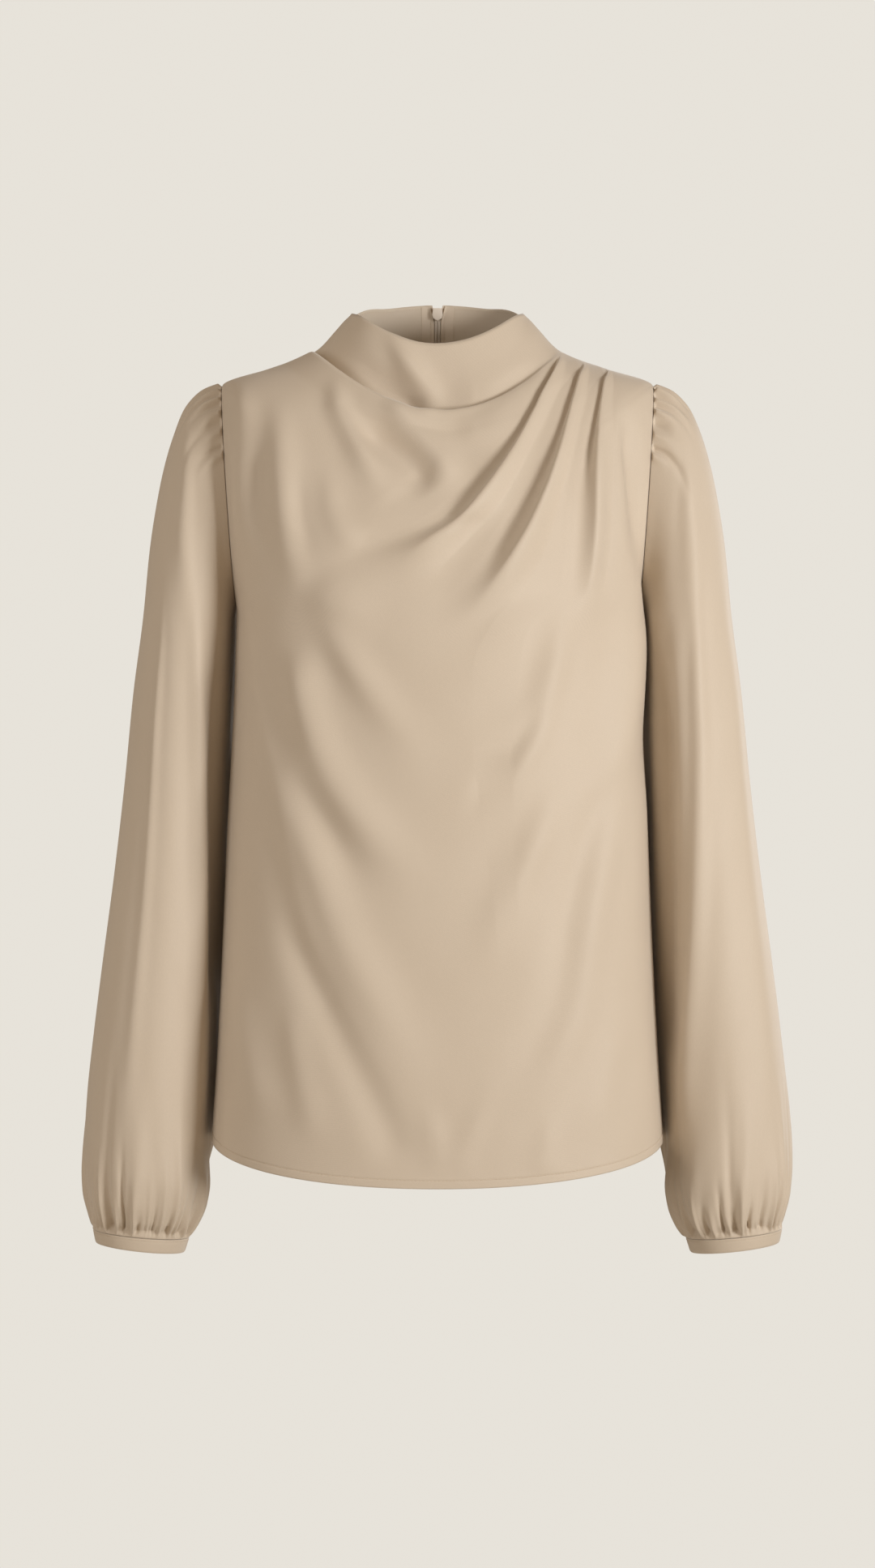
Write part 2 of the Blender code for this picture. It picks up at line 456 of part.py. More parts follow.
def front_grid():
    """The front's outer face: columns that keep to the pleats' lines, and rows that keep to the cowl."""
    cowl = np.array(COWL_SECTION)
    rows = np.concatenate([FRONT_ROWS_ABOVE, cowl[:, 0], FRONT_ROWS_BELOW])
    base, rise = pleat_columns(rows, table(PLEAT_SECTION, PLEAT_SECTION_COLUMNS, "place"))
    first, last = base[0], base[-1]
    left_part = [-1 + share * (first + 1) for share in FRONT_LEFT_SHARES]
    right_part = [last + share * (1 - last) for share in FRONT_RIGHT_SHARES]
    across = np.array(left_part + base + right_part).T
    flat = np.zeros(len(rows))
    raised = np.array([flat] * len(left_part) + rise + [flat] * len(right_part)).T

    reach = np.array(COWL_REACH)
    shift, lift = np.zeros(len(rows)), np.zeros(len(rows))
    above = len(FRONT_ROWS_ABOVE)
    shift[above:above + len(cowl)], lift[above:above + len(cowl)] = cowl[:, 1] * MM, cowl[:, 2] * MM
    cowl_share = smooth(reach[:, 0], reach[:, 1], across)
    down = rows[:, None] + shift[:, None] * cowl_share
    raised = raised + lift[:, None] * cowl_share

    point, normal, _ = panel_frame("front", across, down)
    spots = seen(point)
    for height, width, start, end, path in FRONT_FOLDS:
        raised = raised + fold_height(spots, np.array(path) * MM, height, width, start, end)
    raised = raised * ease((1 - np.abs(across)) / EDGE_EASE)
    return point + normal * raised[..., None], rows


def notch(down):
    """Half the opening of the centre back at the zip's top."""
    return SEAM_GAP / 2 + (NOTCH_HALF - SEAM_GAP / 2) * np.clip(1 - down / NOTCH_DEPTH, 0, 1)


def back_grid(side):
    """The outer face of a half of the back, on the wearer's left; the right one is mirrored.

    Its first three columns are the centre edge and the tape's two edges.
    """
    down = np.array(BACK_ROWS)
    quarter = section_turn("back", down)

    def at(x):
        return np.arcsin(x * np.sin(quarter) / body_column("side_x", down)) / quarter

    tape_in, tape_out = at(TAPE_IN), at(TAPE_OUT)
    rest = [tape_out + share * (1 - tape_out) for share in BACK_SHARES]
    across = np.array([np.zeros(len(down)), tape_in, tape_out] + rest).T
    point, normal, _ = panel_frame("back", across, down[:, None])
    flat_x = across * body_column("side_x", down)[:, None]
    spots = np.stack(np.broadcast_arrays(flat_x, down[:, None]), axis=-1)
    raised = np.zeros(across.shape)
    for height, width, start, end, path in BACK_FOLDS[side]:
        line = np.array(path)
        line[:, 0] = line[:, 0] * body_column("side_x", line[:, 1])
        raised = raised + fold_height(spots, line, height, width, start, end)
    raised = raised * ease((1 - across) / EDGE_EASE) * ease((across - tape_out[:, None]) / EDGE_EASE)
    grid = point + normal * raised[..., None]
    closing = np.clip(1 - grid[..., 0] / TAPE_OUT, 0, 1)
    grid[..., 0] += notch(down)[:, None] * closing
    return grid, down


def ring_points(rows, along, turn):
    """Points of a sleeve's or a cuff's outer face, from its table of rings."""
    knots = table(rows, SLEEVE_COLUMNS, "along")
    column = {name: smooth(knots, table(rows, SLEEVE_COLUMNS, name), along) for name in SLEEVE_COLUMNS[1:]}
    reach = np.where(np.sin(turn) > 0, -column["front"], column["back"])
    x = (column["out_x"] + column["in_x"]) / 2 + (column["out_x"] - column["in_x"]) / 2 * np.cos(turn)
    z = (column["out_z"] + column["in_z"]) / 2 + (column["out_z"] - column["in_z"]) / 2 * np.cos(turn)
    behind = np.exp(-((turn - BEHIND_TURN) / BEHIND_WIDTH) ** 2 / 2)
    return np.stack([x - column["behind"] * behind, reach * np.abs(np.sin(turn)), z], axis=-1)


def sleeve_normals(along, turn):
    nudge = 1e-3
    before, after = (ring_points(SLEEVE_RINGS, along, turn + step) for step in (-nudge, nudge))
    above, below = (ring_points(SLEEVE_RINGS, np.clip(along + step, 0, 1), turn) for step in (-nudge, nudge))
    normal = np.cross(after - before, below - above)
    return normal / np.linalg.norm(normal, axis=-1, keepdims=True)


def sleeve_grid(side):
    """The outer face of a sleeve, on the wearer's left; the right one is mirrored."""
    along = table(SLEEVE_RINGS, SLEEVE_COLUMNS, "along")[:, None]
    turn = np.linspace(0, 2 * np.pi, SLEEVE_FACETS, endpoint=False)[None, :]
    along, turn = np.broadcast_arrays(along, turn)
    point = ring_points(SLEEVE_RINGS, along, turn)
    normal = sleeve_normals(along, turn)
    # Folds are laid out on the flat sleeve, in metres round and along it.
    spots = np.stack([turn * SLEEVE_ROUND, along * SLEEVE_LENGTH], axis=-1)
    raised = np.zeros(along.shape)
    for height, width, start, end, path in SLEEVE_SIDES[side]:
        line = np.array(path) * (math.radians(1) * SLEEVE_ROUND, SLEEVE_LENGTH)
        raised = raised + fold_height(spots, line, height, width, start, end)
    gather = ease((along - GATHER_FROM) / (GATHER_FULL - GATHER_FROM)) * (along < 1)
    raised = raised + GATHER_RISE * gather * np.cos(GATHERS * turn)
    return point + normal * raised[..., None]


def cuff_grid():
    along, turn = np.broadcast_arrays(
        table(CUFF_RINGS, SLEEVE_COLUMNS, "along")[:, None],
        np.linspace(0, 2 * np.pi, SLEEVE_FACETS, endpoint=False)[None, :],
    )
    return ring_points(CUFF_RINGS, along, turn)


def grid_normals(grid, around):
    """The sheet's normals at the points of its faceted grid, to either side."""
    if around:
        across = np.roll(grid, -1, axis=1) - np.roll(grid, 1, axis=1)
    else:
        across = np.gradient(grid, axis=1)
    normal = np.cross(across, np.gradient(grid, axis=0))
    return normal / np.linalg.norm(normal, axis=-1, keepdims=True)


def turned(normal, like):
    """The same normals, on the side of the given ones."""
    flip = np.where((normal * like).sum(axis=-1) < 0, -1, 1)
    return normal * flip[..., None]


def unit(vectors):
    return vectors / np.linalg.norm(vectors, axis=-1, keepdims=True)


def panel_normals(grid, rows, edges, centre_edge=False):
    """A body panel's outward normals, held in its seams' planes along them."""
    outward = grid * np.array([1, 1, 0]) + np.array([0, 0, 0.02])
    normal = turned(grid_normals(grid, around=False), outward)
    on_armhole = (rows > SHOULDER_POINT) & (rows < UNDERARM)
    for column in edges:
        side = np.sign(grid[:, column, 0])
        normal[~on_armhole, column, 1] = 0
        outwards = normal[:, column, 0] * side
        normal[:, column, 0] = np.where(on_armhole, np.maximum(outwards, 0) * side, normal[:, column, 0])
    if centre_edge:
        normal[:, 0, 0] = 0
    return unit(normal)


def tube_normals(grid, first_seam):
    """A sleeve's or a cuff's outward normals. At the armhole they don't lean towards the body."""
    outward = grid - grid.mean(axis=1, keepdims=True)
    normal = turned(grid_normals(grid, around=True), outward)
    if first_seam:
        normal[0, :, 0] = np.minimum(normal[0, :, 0], 0)
    return unit(normal)


def wall_faces(rows, columns, around):
    """The faces of a wall with an outer grid followed by an inner one, and its rims."""
    inner = rows * columns
    last = columns if around else columns - 1
    faces = []
    for row in range(rows - 1):
        for column in range(last):
            after = (column + 1) % columns
            here, right = row * columns + column, row * columns + after
            below, corner = here + columns, right + columns
            faces.append((here, right, corner, below))
            faces.append((inner + here, inner + below, inner + corner, inner + right))
    for row, order in ((0, 1), (rows - 1, -1)):
        for column in range(last):
            here, right = row * columns + column, row * columns + (column + 1) % columns
            faces.append((here, inner + here, inner + right, right)[::order])
    if not around:
        for column, order in ((0, -1), (columns - 1, 1)):
            for row in range(rows - 1):
                here = row * columns + column
                below = here + columns
                faces.append((here, inner + here, inner + below, below)[::order])
    return faces


def add_solid(name, points, faces, material, collection):
    """A named object from a closed set of faces, all facing out."""
    mesh = bpy.data.meshes.new(name)
    mesh.from_pydata([tuple(point) for point in points], [], faces)
    shape = bmesh.new()
    shape.from_mesh(mesh)
    bmesh.ops.recalc_face_normals(shape, faces=shape.faces)
    shape.to_mesh(mesh)
    shape.free()
    mesh.materials.append(material)
    mesh.shade_smooth()
    mesh.set_sharp_from_angle(angle=math.radians(50))
    thing = bpy.data.objects.new(name, mesh)
    collection.objects.link(thing)
    return thing


def add_wall(name, outer, inner, material, collection, around=False):
    """A wall of cloth between two grids of points."""
    rows, columns = outer.shape[:2]
    points = np.concatenate([outer.reshape(-1, 3), inner.reshape(-1, 3)])
    return add_solid(name, points, wall_faces(rows, columns, around), material, collection)


def new_material(name, colour, roughness, metallic=0.0):
    material = bpy.data.materials.new(name)
    material.use_nodes = True
    shader = material.node_tree.nodes["Principled BSDF"]
    shader.inputs["Base Color"].default_value = (*colour, 1)
    shader.inputs["Roughness"].default_value = roughness
    shader.inputs["Metallic"].default_value = metallic
    material.diffuse_color = (*colour, 1)
    return material


def box(name, low, high):
    """A box between two corners, as an object that isn't in a collection yet."""
    shape = bmesh.new()
    bmesh.ops.create_cube(shape, size=1)
    low, high = np.array(low), np.array(high)
    for vertex in shape.verts:
        vertex.co = tuple((low + high) / 2 + np.array(vertex.co) * (high - low))
    return loose(name, shape)


def rod(name, radius, half_length, centre):
    """A round bar along X."""
    shape = bmesh.new()
    turn = Matrix.Rotation(math.pi / 2, 4, "Y")
    place = Matrix.Translation(centre) @ turn
    bmesh.ops.create_cone(shape, cap_ends=True, segments=24, radius1=radius, radius2=radius,
                          depth=2 * half_length, matrix=place)
    return loose(name, shape)


def plate(name, outline, near, far):
    """A flat plate: an outline of x, z between two planes of y."""
    shape = bmesh.new()
    front = [shape.verts.new((x, near, z)) for x, z in outline]
    back = [shape.verts.new((x, far, z)) for x, z in outline]
    shape.faces.new(front)
    shape.faces.new(back[::-1])
    for number, here in enumerate(front):
        after = (number + 1) % len(front)
        shape.faces.new((front[after], here, back[number], back[after]))
    bmesh.ops.recalc_face_normals(shape, faces=shape.faces)
    return loose(name, shape)


def loose(name, shape):
    mesh = bpy.data.meshes.new(name)
    shape.to_mesh(mesh)
    shape.free()
    return bpy.data.objects.new(name, mesh)


def combined(name, first, others, material, collection):
    """One solid from a first shape and others, each joined to it or cut from it."""
    collection.objects.link(first)
    for other, way in others:
        collection.objects.link(other)
        modifier = first.modifiers.new(way.title(), "BOOLEAN")
        modifier.operation, modifier.object, modifier.solver = way, other, "EXACT"
    bpy.context.view_layer.update()
    seen_now = first.evaluated_get(bpy.context.evaluated_depsgraph_get())
    mesh = bpy.data.meshes.new_from_object(seen_now)
    mesh.name = name
    for shape, _ in [(first, "")] + others:
        bpy.data.objects.remove(shape)
    mesh.materials.clear()
    mesh.materials.append(material)
    mesh.shade_smooth()
    mesh.set_sharp_from_angle(angle=math.radians(40))
    thing = bpy.data.objects.new(name, mesh)
    collection.objects.link(thing)
    return thing


def add_front(cloth, collection):
    grid, rows = front_grid()
    normal = panel_normals(grid, rows, edges=(0, -1))
    add_wall("front", grid, grid - normal * WALL, cloth, collection)


def add_backs(cloth, tape, coil, collection):
    """Both halves of the back, and what is sewn inside their centre edges."""
    mirror = np.array([-1, 1, 1])
    for side, sign in (("left", np.ones(3)), ("right", mirror)):
        grid, rows = back_grid(side)
        normal = panel_normals(grid, rows, edges=(-1,), centre_edge=True)
        inner = grid - normal * WALL
        taped = slice(0, int((rows <= ZIP_LENGTH).sum()))
        tape_face = inner[taped, 1:3] - normal[taped, 1:3] * SEAM_GAP
        tape_back = tape_face - normal[taped, 1:3] * TAPE_WALL
        add_wall(f"back_{side}", grid * sign, inner * sign, cloth, collection)
        add_wall(f"zip_tape_{side}", tape_face * sign, tape_back * sign, tape, collection)

    below_slider = slice(int((rows < NOTCH_DEPTH).sum()), taped.stop)
    share = (CHAIN_HALF - SEAM_GAP / 2) / (TAPE_IN - SEAM_GAP / 2)
    edge = inner[below_slider, 0] + (inner[below_slider, 1] - inner[below_slider, 0]) * share
    away = unit(normal[below_slider, 0])
    face = edge - away * SEAM_GAP
    behind = face - away * CHAIN_WALL
    outer, inner = (np.stack([line * mirror, line], axis=1) for line in (face, behind))
    add_wall("zip_chain", outer, inner, coil, collection)


def add_slider(metal, collection):
    """The slider: a pentagon inside, a web through the notch, and two ears with a pin outside."""
    waist = SLIDER_FOOT + 0.4 * (SLIDER_TOP - SLIDER_FOOT)
    half = ((0.8, SLIDER_FOOT + SLIDER_TIP), (1.0, waist), (0.85, SLIDER_TOP))
    right_side = [(share * SLIDER_HALF, z) for share, z in half]
    pentagon = [(0, SLIDER_FOOT - SLIDER_TIP)] + right_side + [(-x, z) for x, z in right_side[::-1]]
    body = plate("slider_body", pentagon, SLIDER_IN - SLIDER_WALL, SLIDER_IN)
    bridge_out = BRIDGE_IN + BRIDGE_WALL
    web_foot, web_top = HINGE_Z - WEB_REACH, HINGE_Z + WEB_REACH
    web = box("web", (-WEB_HALF, SLIDER_IN - 2 * JOIN, web_foot), (WEB_HALF, BRIDGE_IN + JOIN, web_top))
    bridge_foot, bridge_top = HINGE_Z - BRIDGE_REACH, HINGE_Z + BRIDGE_REACH
    bridge = box("bridge", (-EAR_OUT, BRIDGE_IN, bridge_foot), (EAR_OUT, bridge_out, bridge_top))
    joins = [(web, "UNION"), (bridge, "UNION")]
    for sign in (-1, 1):
        near, far = sorted((sign * EAR_IN, sign * EAR_OUT))
        low = (near, bridge_out - JOIN, HINGE_Z - EAR_REACH)
        ear = box("ear", low, (far, HINGE_Y + EAR_REACH, HINGE_Z + EAR_REACH))
        joins.append((ear, "UNION"))
    pin_half = (EAR_IN + EAR_OUT) / 2
    joins.append((rod("pin", PIN_RADIUS, pin_half, (0, HINGE_Y, HINGE_Z)), "UNION"))
    combined("zip_slider", body, joins, metal, collection)


def add_pull(metal, collection):
    """The pull: an eye round the slider's pin, and a drop below it. Its origin is on the pin's axis."""
    foot = HINGE_Z - PULL_LENGTH
    drop = [(PULL_NECK, HINGE_Z - NECK_TOP), (PULL_NECK, HINGE_Z - NECK_FOOT)]
    for step in range(PULL_STEPS + 1):
        angle = math.pi / 2 * step / PULL_STEPS
        drop.append((PULL_HALF * math.cos(angle), foot + PULL_HALF * (1 - math.sin(angle))))
    outline = drop + [(-x, z) for x, z in drop[::-1] if x > 1e-9]
    body = plate("drop", outline, HINGE_Y - PULL_WALL / 2, HINGE_Y + PULL_WALL / 2)
    centre = (0, HINGE_Y, HINGE_Z)
    pull = combined("zip_pull", body, [
        (rod("eye", EYE_RADIUS, EYE_HALF, centre), "UNION"),
        (rod("bore", EYE_BORE, 2 * EYE_HALF, centre), "DIFFERENCE"),
    ], metal, collection)
    pull.data.transform(Matrix.Translation(centre).inverted())
    pull.location = centre


def add_sleeves(cloth, collection):
    """The sleeves, each with its cuff a seam's gap below it."""
    cuff = cuff_grid()
    cuff_normal = tube_normals(cuff, first_seam=False)
    for side, sign in (("left", 1), ("right", -1)):
        mirror = np.array([sign, 1, 1])
        grid = sleeve_grid(side)
        normal = tube_normals(grid, first_seam=True)
        inner = grid - normal * WALL
        add_wall(f"sleeve_{side}", grid * mirror, inner * mirror, cloth, collection, around=True)
        lower = cuff - np.array([0, 0, CUFF_GAP])
        inside = lower - cuff_normal * CUFF_WALL
        add_wall(f"cuff_{side}", lower * mirror, inside * mirror, cloth, collection, around=True)


def main():
    for thing in list(bpy.data.objects):
        bpy.data.objects.remove(thing)
    collection = bpy.data.collections.new("draped_blouse")
    bpy.context.scene.collection.children.link(collection)
    cloth = new_material("champagne_crepe", (0.66, 0.54, 0.40), 0.62)
    tape = new_material("zip_tape", (0.62, 0.52, 0.39), 0.80)
    coil = new_material("zip_coil", (0.70, 0.62, 0.50), 0.45)
    metal = new_material("zip_metal", (0.70, 0.62, 0.50), 0.35)
    add_front(cloth, collection)
    add_backs(cloth, tape, coil, collection)
    add_sleeves(cloth, collection)
    add_slider(metal, collection)
    add_pull(metal, collection)


main()
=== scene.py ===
"""The looks of the draped blouse: its cloth, stitches, gathers and zip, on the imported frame.

The cloth has the CAD's sections, rings and cowl, in metres, at a finer spacing. Its pleats, folds and gathers
are laid on them more finely than in the CAD.
"""

import math
import random

import bmesh
import bpy
import numpy as np
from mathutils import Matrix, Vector


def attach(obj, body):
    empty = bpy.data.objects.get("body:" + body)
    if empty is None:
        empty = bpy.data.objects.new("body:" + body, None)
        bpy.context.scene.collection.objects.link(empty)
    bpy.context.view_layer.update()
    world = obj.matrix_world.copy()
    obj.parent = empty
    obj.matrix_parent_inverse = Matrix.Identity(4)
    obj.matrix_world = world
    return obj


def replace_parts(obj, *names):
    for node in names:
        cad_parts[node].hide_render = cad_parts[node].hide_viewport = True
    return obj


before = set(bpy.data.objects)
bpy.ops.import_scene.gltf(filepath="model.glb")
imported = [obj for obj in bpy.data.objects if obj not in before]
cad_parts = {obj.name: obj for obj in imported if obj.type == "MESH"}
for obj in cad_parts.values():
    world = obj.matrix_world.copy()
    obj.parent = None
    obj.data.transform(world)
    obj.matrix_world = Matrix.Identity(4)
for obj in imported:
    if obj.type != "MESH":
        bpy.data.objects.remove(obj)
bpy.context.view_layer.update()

MM = 0.001
CLOTH, CUFF_CLOTH = 0.5 * MM, 1.4 * MM  # the cloth's own thickness, and the doubled cuffs'
SEAM_GAP = 0.3 * MM
SIDES = ("left", "right")
MIRROR, LEVEL = np.array([-1, 1, 1]), np.array([1, 1, 0])  # to the other side, and without the height
VIEW, EYE_Z = 3.0, -0.347  # the eye that folds are laid out for, in front of the blouse
FRAME_HEIGHT = 1.2384  # the metres that the picture's height shows at y = 0
EDGE_EASE = 0.10  # the share of a panel beside an edge over which its folds run out
EDGE_POWER = 8  # how closely a panel keeps its section before it follows the armhole
FOLD_STEPS = 48
FOLD_WIDTH, FOLD_WIDENS = 0.8, 0.5  # a fold's width where it starts and what it gains, as shares
TROUGH, TROUGH_WIDTH = 0.35, 2.2  # a fold's troughs, as shares of its rise and width
GATHER_WIDTH, GATHER_WIDENS = 0.45, 0.9  # a gather's width at its seam and what it gains, as shares
GATHER_SHIFT = 0.32  # the most that a gather is moved, as a share of its room
HEAD_START, CUFF_START = 2.5 * MM, 3.5 * MM  # a gather reaches its height this far from its seam
PINCH, PINCH_REACH = 3.5 * MM, 0.036  # the cuff draws the cloth in above its seam
SLEEVE_COLUMNS_SHOWN, CUFF_COLUMNS_SHOWN, PLEAT_COLUMNS_SHOWN = 320, 200, 24
RIGHT_COLUMNS, LEFT_COLUMNS = 112, 37  # the front's columns on the wearer's right and left of its pleats
SEAM_COLUMNS, TAPED_COLUMNS, REST_COLUMNS = 6, 8, 92  # a back's columns: before its tape, on it, past it
HEM_DEPTH = 6.4 * MM  # from the hem's stitches to its edge
HEM_RISE, HEM_DIP, HEM_SOFT = 0.18 * MM, 0.28 * MM, 0.7 * MM
SEAM_SHUT = -0.01 * MM  # the centre back's edges meet, and press together by this much each
SEAM_ROLL, SEAM_ROLL_WIDTH = 0.5 * MM, 1.5 * MM  # the centre back's edges roll in to their seam

# The body's sections, from the collar's top edge to the hem.
# side_x, side_z: the shoulder seam, then the side seam.
# front_y, front_z, back_y, back_z: the centre lines.
# swing: 1 dips like a neckline, 0 like a level hem.
BODY_COLUMNS = ("down", "side_x", "side_z", "front_y", "front_z", "back_y", "back_z", "swing")
BODY_SECTIONS = (
    (0.000, 0.0680, 0.0256, -0.0590, -0.0055, 0.0600, 0.0385, 1.0),  # collar's top edge
    (0.022, 0.0800, 0.0110, -0.0660, -0.0300, 0.0615, 0.0180, 1.0),  # middle of the collar
    (0.048, 0.0973, -0.0062, -0.0780, -0.0590, 0.0650, -0.0050, 1.0),  # inner end of the shoulder
    (0.083, 0.1344, -0.0205, -0.0900, -0.0840, 0.0770, -0.0330, 1.0),  # middle of the shoulder
    (0.118, 0.1700, -0.0330, -0.1010, -0.1110, 0.0890, -0.0680, 1.0),  # shoulder point
    (0.150, 0.1685, -0.0535, -0.1110, -0.1390, 0.0970, -0.1020, 0.92),
    (0.182, 0.1655, -0.1053, -0.1180, -0.1680, 0.1025, -0.1360, 0.7),
    (0.212, 0.1615, -0.1609, -0.1225, -0.1970, 0.1055, -0.1680, 0.4),
    (0.238, 0.1592, -0.1963, -0.1250, -0.2210, 0.1065, -0.1960, 0.15),
    (0.262, 0.1584, -0.2080, -0.1260, -0.2400, 0.1065, -0.2170, 0.0),  # underarm
    (0.300, 0.1592, -0.2400, -0.1262, -0.2720, 0.1050, -0.2500, 0.0),  # bust
    (0.360, 0.1616, -0.3040, -0.1250, -0.3330, 0.1010, -0.3130, 0.0),
    (0.425, 0.1651, -0.3680, -0.1225, -0.3950, 0.0990, -0.3780, 0.0),  # waist
    (0.508, 0.1686, -0.4512, -0.1200, -0.4780, 0.1020, -0.4620, 0.0),
    (0.592, 0.1725, -0.5344, -0.1185, -0.5630, 0.1070, -0.5480, 0.0),  # hip
    (0.685, 0.1779, -0.6240, -0.1180, -0.6545, 0.1100, -0.6480, 0.0),  # hem
)
SHOULDER_POINT, UNDERARM, HEM = 0.118, 0.262, 0.685
HALF_WIDTH = 0.17  # about half the body's width

# The rows down each sheet: where a stretch starts, and its steps to the next one.
HEM_LINE = HEM - HEM_DEPTH
HEM_ROWS = ((HEM_LINE - 2.4 * MM, 3), (HEM_LINE - 0.9 * MM, 6), (HEM_LINE + 0.9 * MM, 5), (HEM, 0))
FRONT_ROWS = ((0.0, 12), (0.034, 30), (0.064, 20), (0.11, 42), (0.19, 24), (0.30, 68), *HEM_ROWS)
BACK_ROWS = ((0.0, 16), (0.034, 28), (0.118, 40), (0.262, 90), *HEM_ROWS)
SLEEVE_ROWS = ((0.0, 8), (0.012, 22), (0.08, 16), (0.20, 40), (0.80, 20), (0.92, 30), (0.99, 10), (1.0, 0))
CUFF_ROWS = ((0.0, 1), (0.02, 1), (0.06, 1), (0.12, 9), (0.88, 1), (0.94, 1), (0.98, 1), (1.0, 0))

# The armhole is an oval from the shoulder point, round the front and the back, to the underarm.
ARMHOLE_TOP = (0.1700, -0.0330)  # x, z
ARMHOLE_FOOT = (0.1584, -0.2080)
ARMHOLE_REACH = {"front": 0.0455, "back": 0.0435}
SQUARENESS = {"front": 2.4, "back": 2.0}  # a section's power: 2 is an ellipse, and more is squarer
EVENED = 36 * MM  # the armhole's ends are felt over this much of the cloth, up and down
SHOULDER_START, EVENED_IN = 0.060, 0.045  # where that begins, and the stretch over which it comes in
EVEN_STEPS = np.linspace(-1, 1, 17)
EVEN_SHARES = (1 + np.cos(np.pi * EVEN_STEPS)) / (1 + np.cos(np.pi * EVEN_STEPS)).sum()

# The three pleats of the wearer's left shoulder. Each turns under along a path of x, z in mm, as seen from
# the eye.
# start, full, fading, gone: the shares down where it opens, is full, starts to fade and has gone.
# Then come its half width and rise in mm, and its path.
PLEATS = (
    (0.050, 0.057, 0.150, 0.212, 26, 13.0,
     ((97, -6), (93, -18), (78, -48), (58, -83), (38, -113), (17, -137), (-4, -150), (-22, -163),
      (-38, -182), (-50, -210), (-56, -250), (-54, -320), (-48, -400), (-42, -500), (-36, -656))),
    (0.066, 0.075, 0.180, 0.252, 28, 15.0,
     ((114, -16), (104, -50), (89, -98), (70, -141), (51, -173), (31, -200), (13, -223), (2, -258),
      (2, -310), (10, -380), (22, -500), (30, -656))),
    (0.082, 0.091, 0.180, 0.262, 21, 10.5,
     ((133, -20), (126, -60), (121, -102), (119, -149), (115, -196), (108, -240), (100, -300), (96, -380),
      (96, -500), (100, -656))),
)
# A pleat's section from the cloth below it to the cloth on top, where it is folded and where it has opened.
# place: along the section. side: sideways, in half widths. lift: outwards, as a share of its rise.
PLEAT_SECTION_COLUMNS = ("place", "side", "lift", "open_side", "open_lift")
PLEAT_SECTION = (
    (-1, -1, 0, -1, 0), (-0.8, -0.6, -0.02, -0.76, -0.03), (-0.6, -0.3, -0.08, -0.5, -0.03),
    (-0.4, -0.06, -0.2, -0.29, 0.08), (-0.28, 0.04, -0.26, -0.2, 0.2), (-0.18, 0.06, -0.2, -0.13, 0.34),
    (-0.05, 0.02, 0.04, -0.06, 0.54), (0.08, -0.05, 0.32, 0, 0.76), (0.18, -0.07, 0.6, 0.04, 0.9),
    (0.27, -0.05, 0.84, 0.1, 0.98), (0.4, 0.03, 1, 0.2, 0.98), (0.6, 0.3, 0.84, 0.44, 0.74),
    (0.8, 0.64, 0.44, 0.71, 0.36), (1, 1, 0.05, 1, 0.04),
)
PLEAT_ROOM = 0.46  # the most of the way to the next pleat that one takes
PLEAT_LEAST = (0.86, 0.91, 0.955)  # where the pleats' lines run above their starts
PLEAT_MOST = (0.9, 0.945, 0.975)
PLEAT_LEAD = 0.012  # how far above its start a pleat's line is free
PRESSED, SWELL = 0.3, 0.09  # a pleat is pressed flat at its top, and opens over this much of its length
STEEPEST = 2.4  # the most that a slanting pleat's section is widened

# The cowl: the cloth below the collar rolls up over it.
# down: the row. shift, lift: how far it moves down the panel and outwards, in mm.
COWL_COLUMNS = ("down", "shift", "lift")
COWL_SECTION = (
    (0, 0, 0), (0.012, 0, -1.5), (0.024, 0, -5), (0.034, 0, -10), (0.0385, 0.8, -12.6), (0.042, 2, -14.8),
    (0.0448, 3.8, -16.6), (0.0464, 4.2, -16.4), (0.0478, 2.6, -12), (0.0488, 0, -5.6), (0.0498, -2.2, 0),
    (0.051, -2.8, 2.4), (0.0535, -1.8, 3.9), (0.06, -0.5, 3), (0.072, 0, 0),
)
# across: how much of the cowl shows there.
REACH_COLUMNS = ("across", "share")
COWL_REACH = (
    (-1, 0), (-0.93, 0.35), (-0.8, 0.62), (-0.6, 0.9), (-0.35, 1), (-0.08, 1), (0.08, 0.62), (0.22, 0.3),
    (0.45, 0.16), (0.75, 0.08), (1, 0),
)

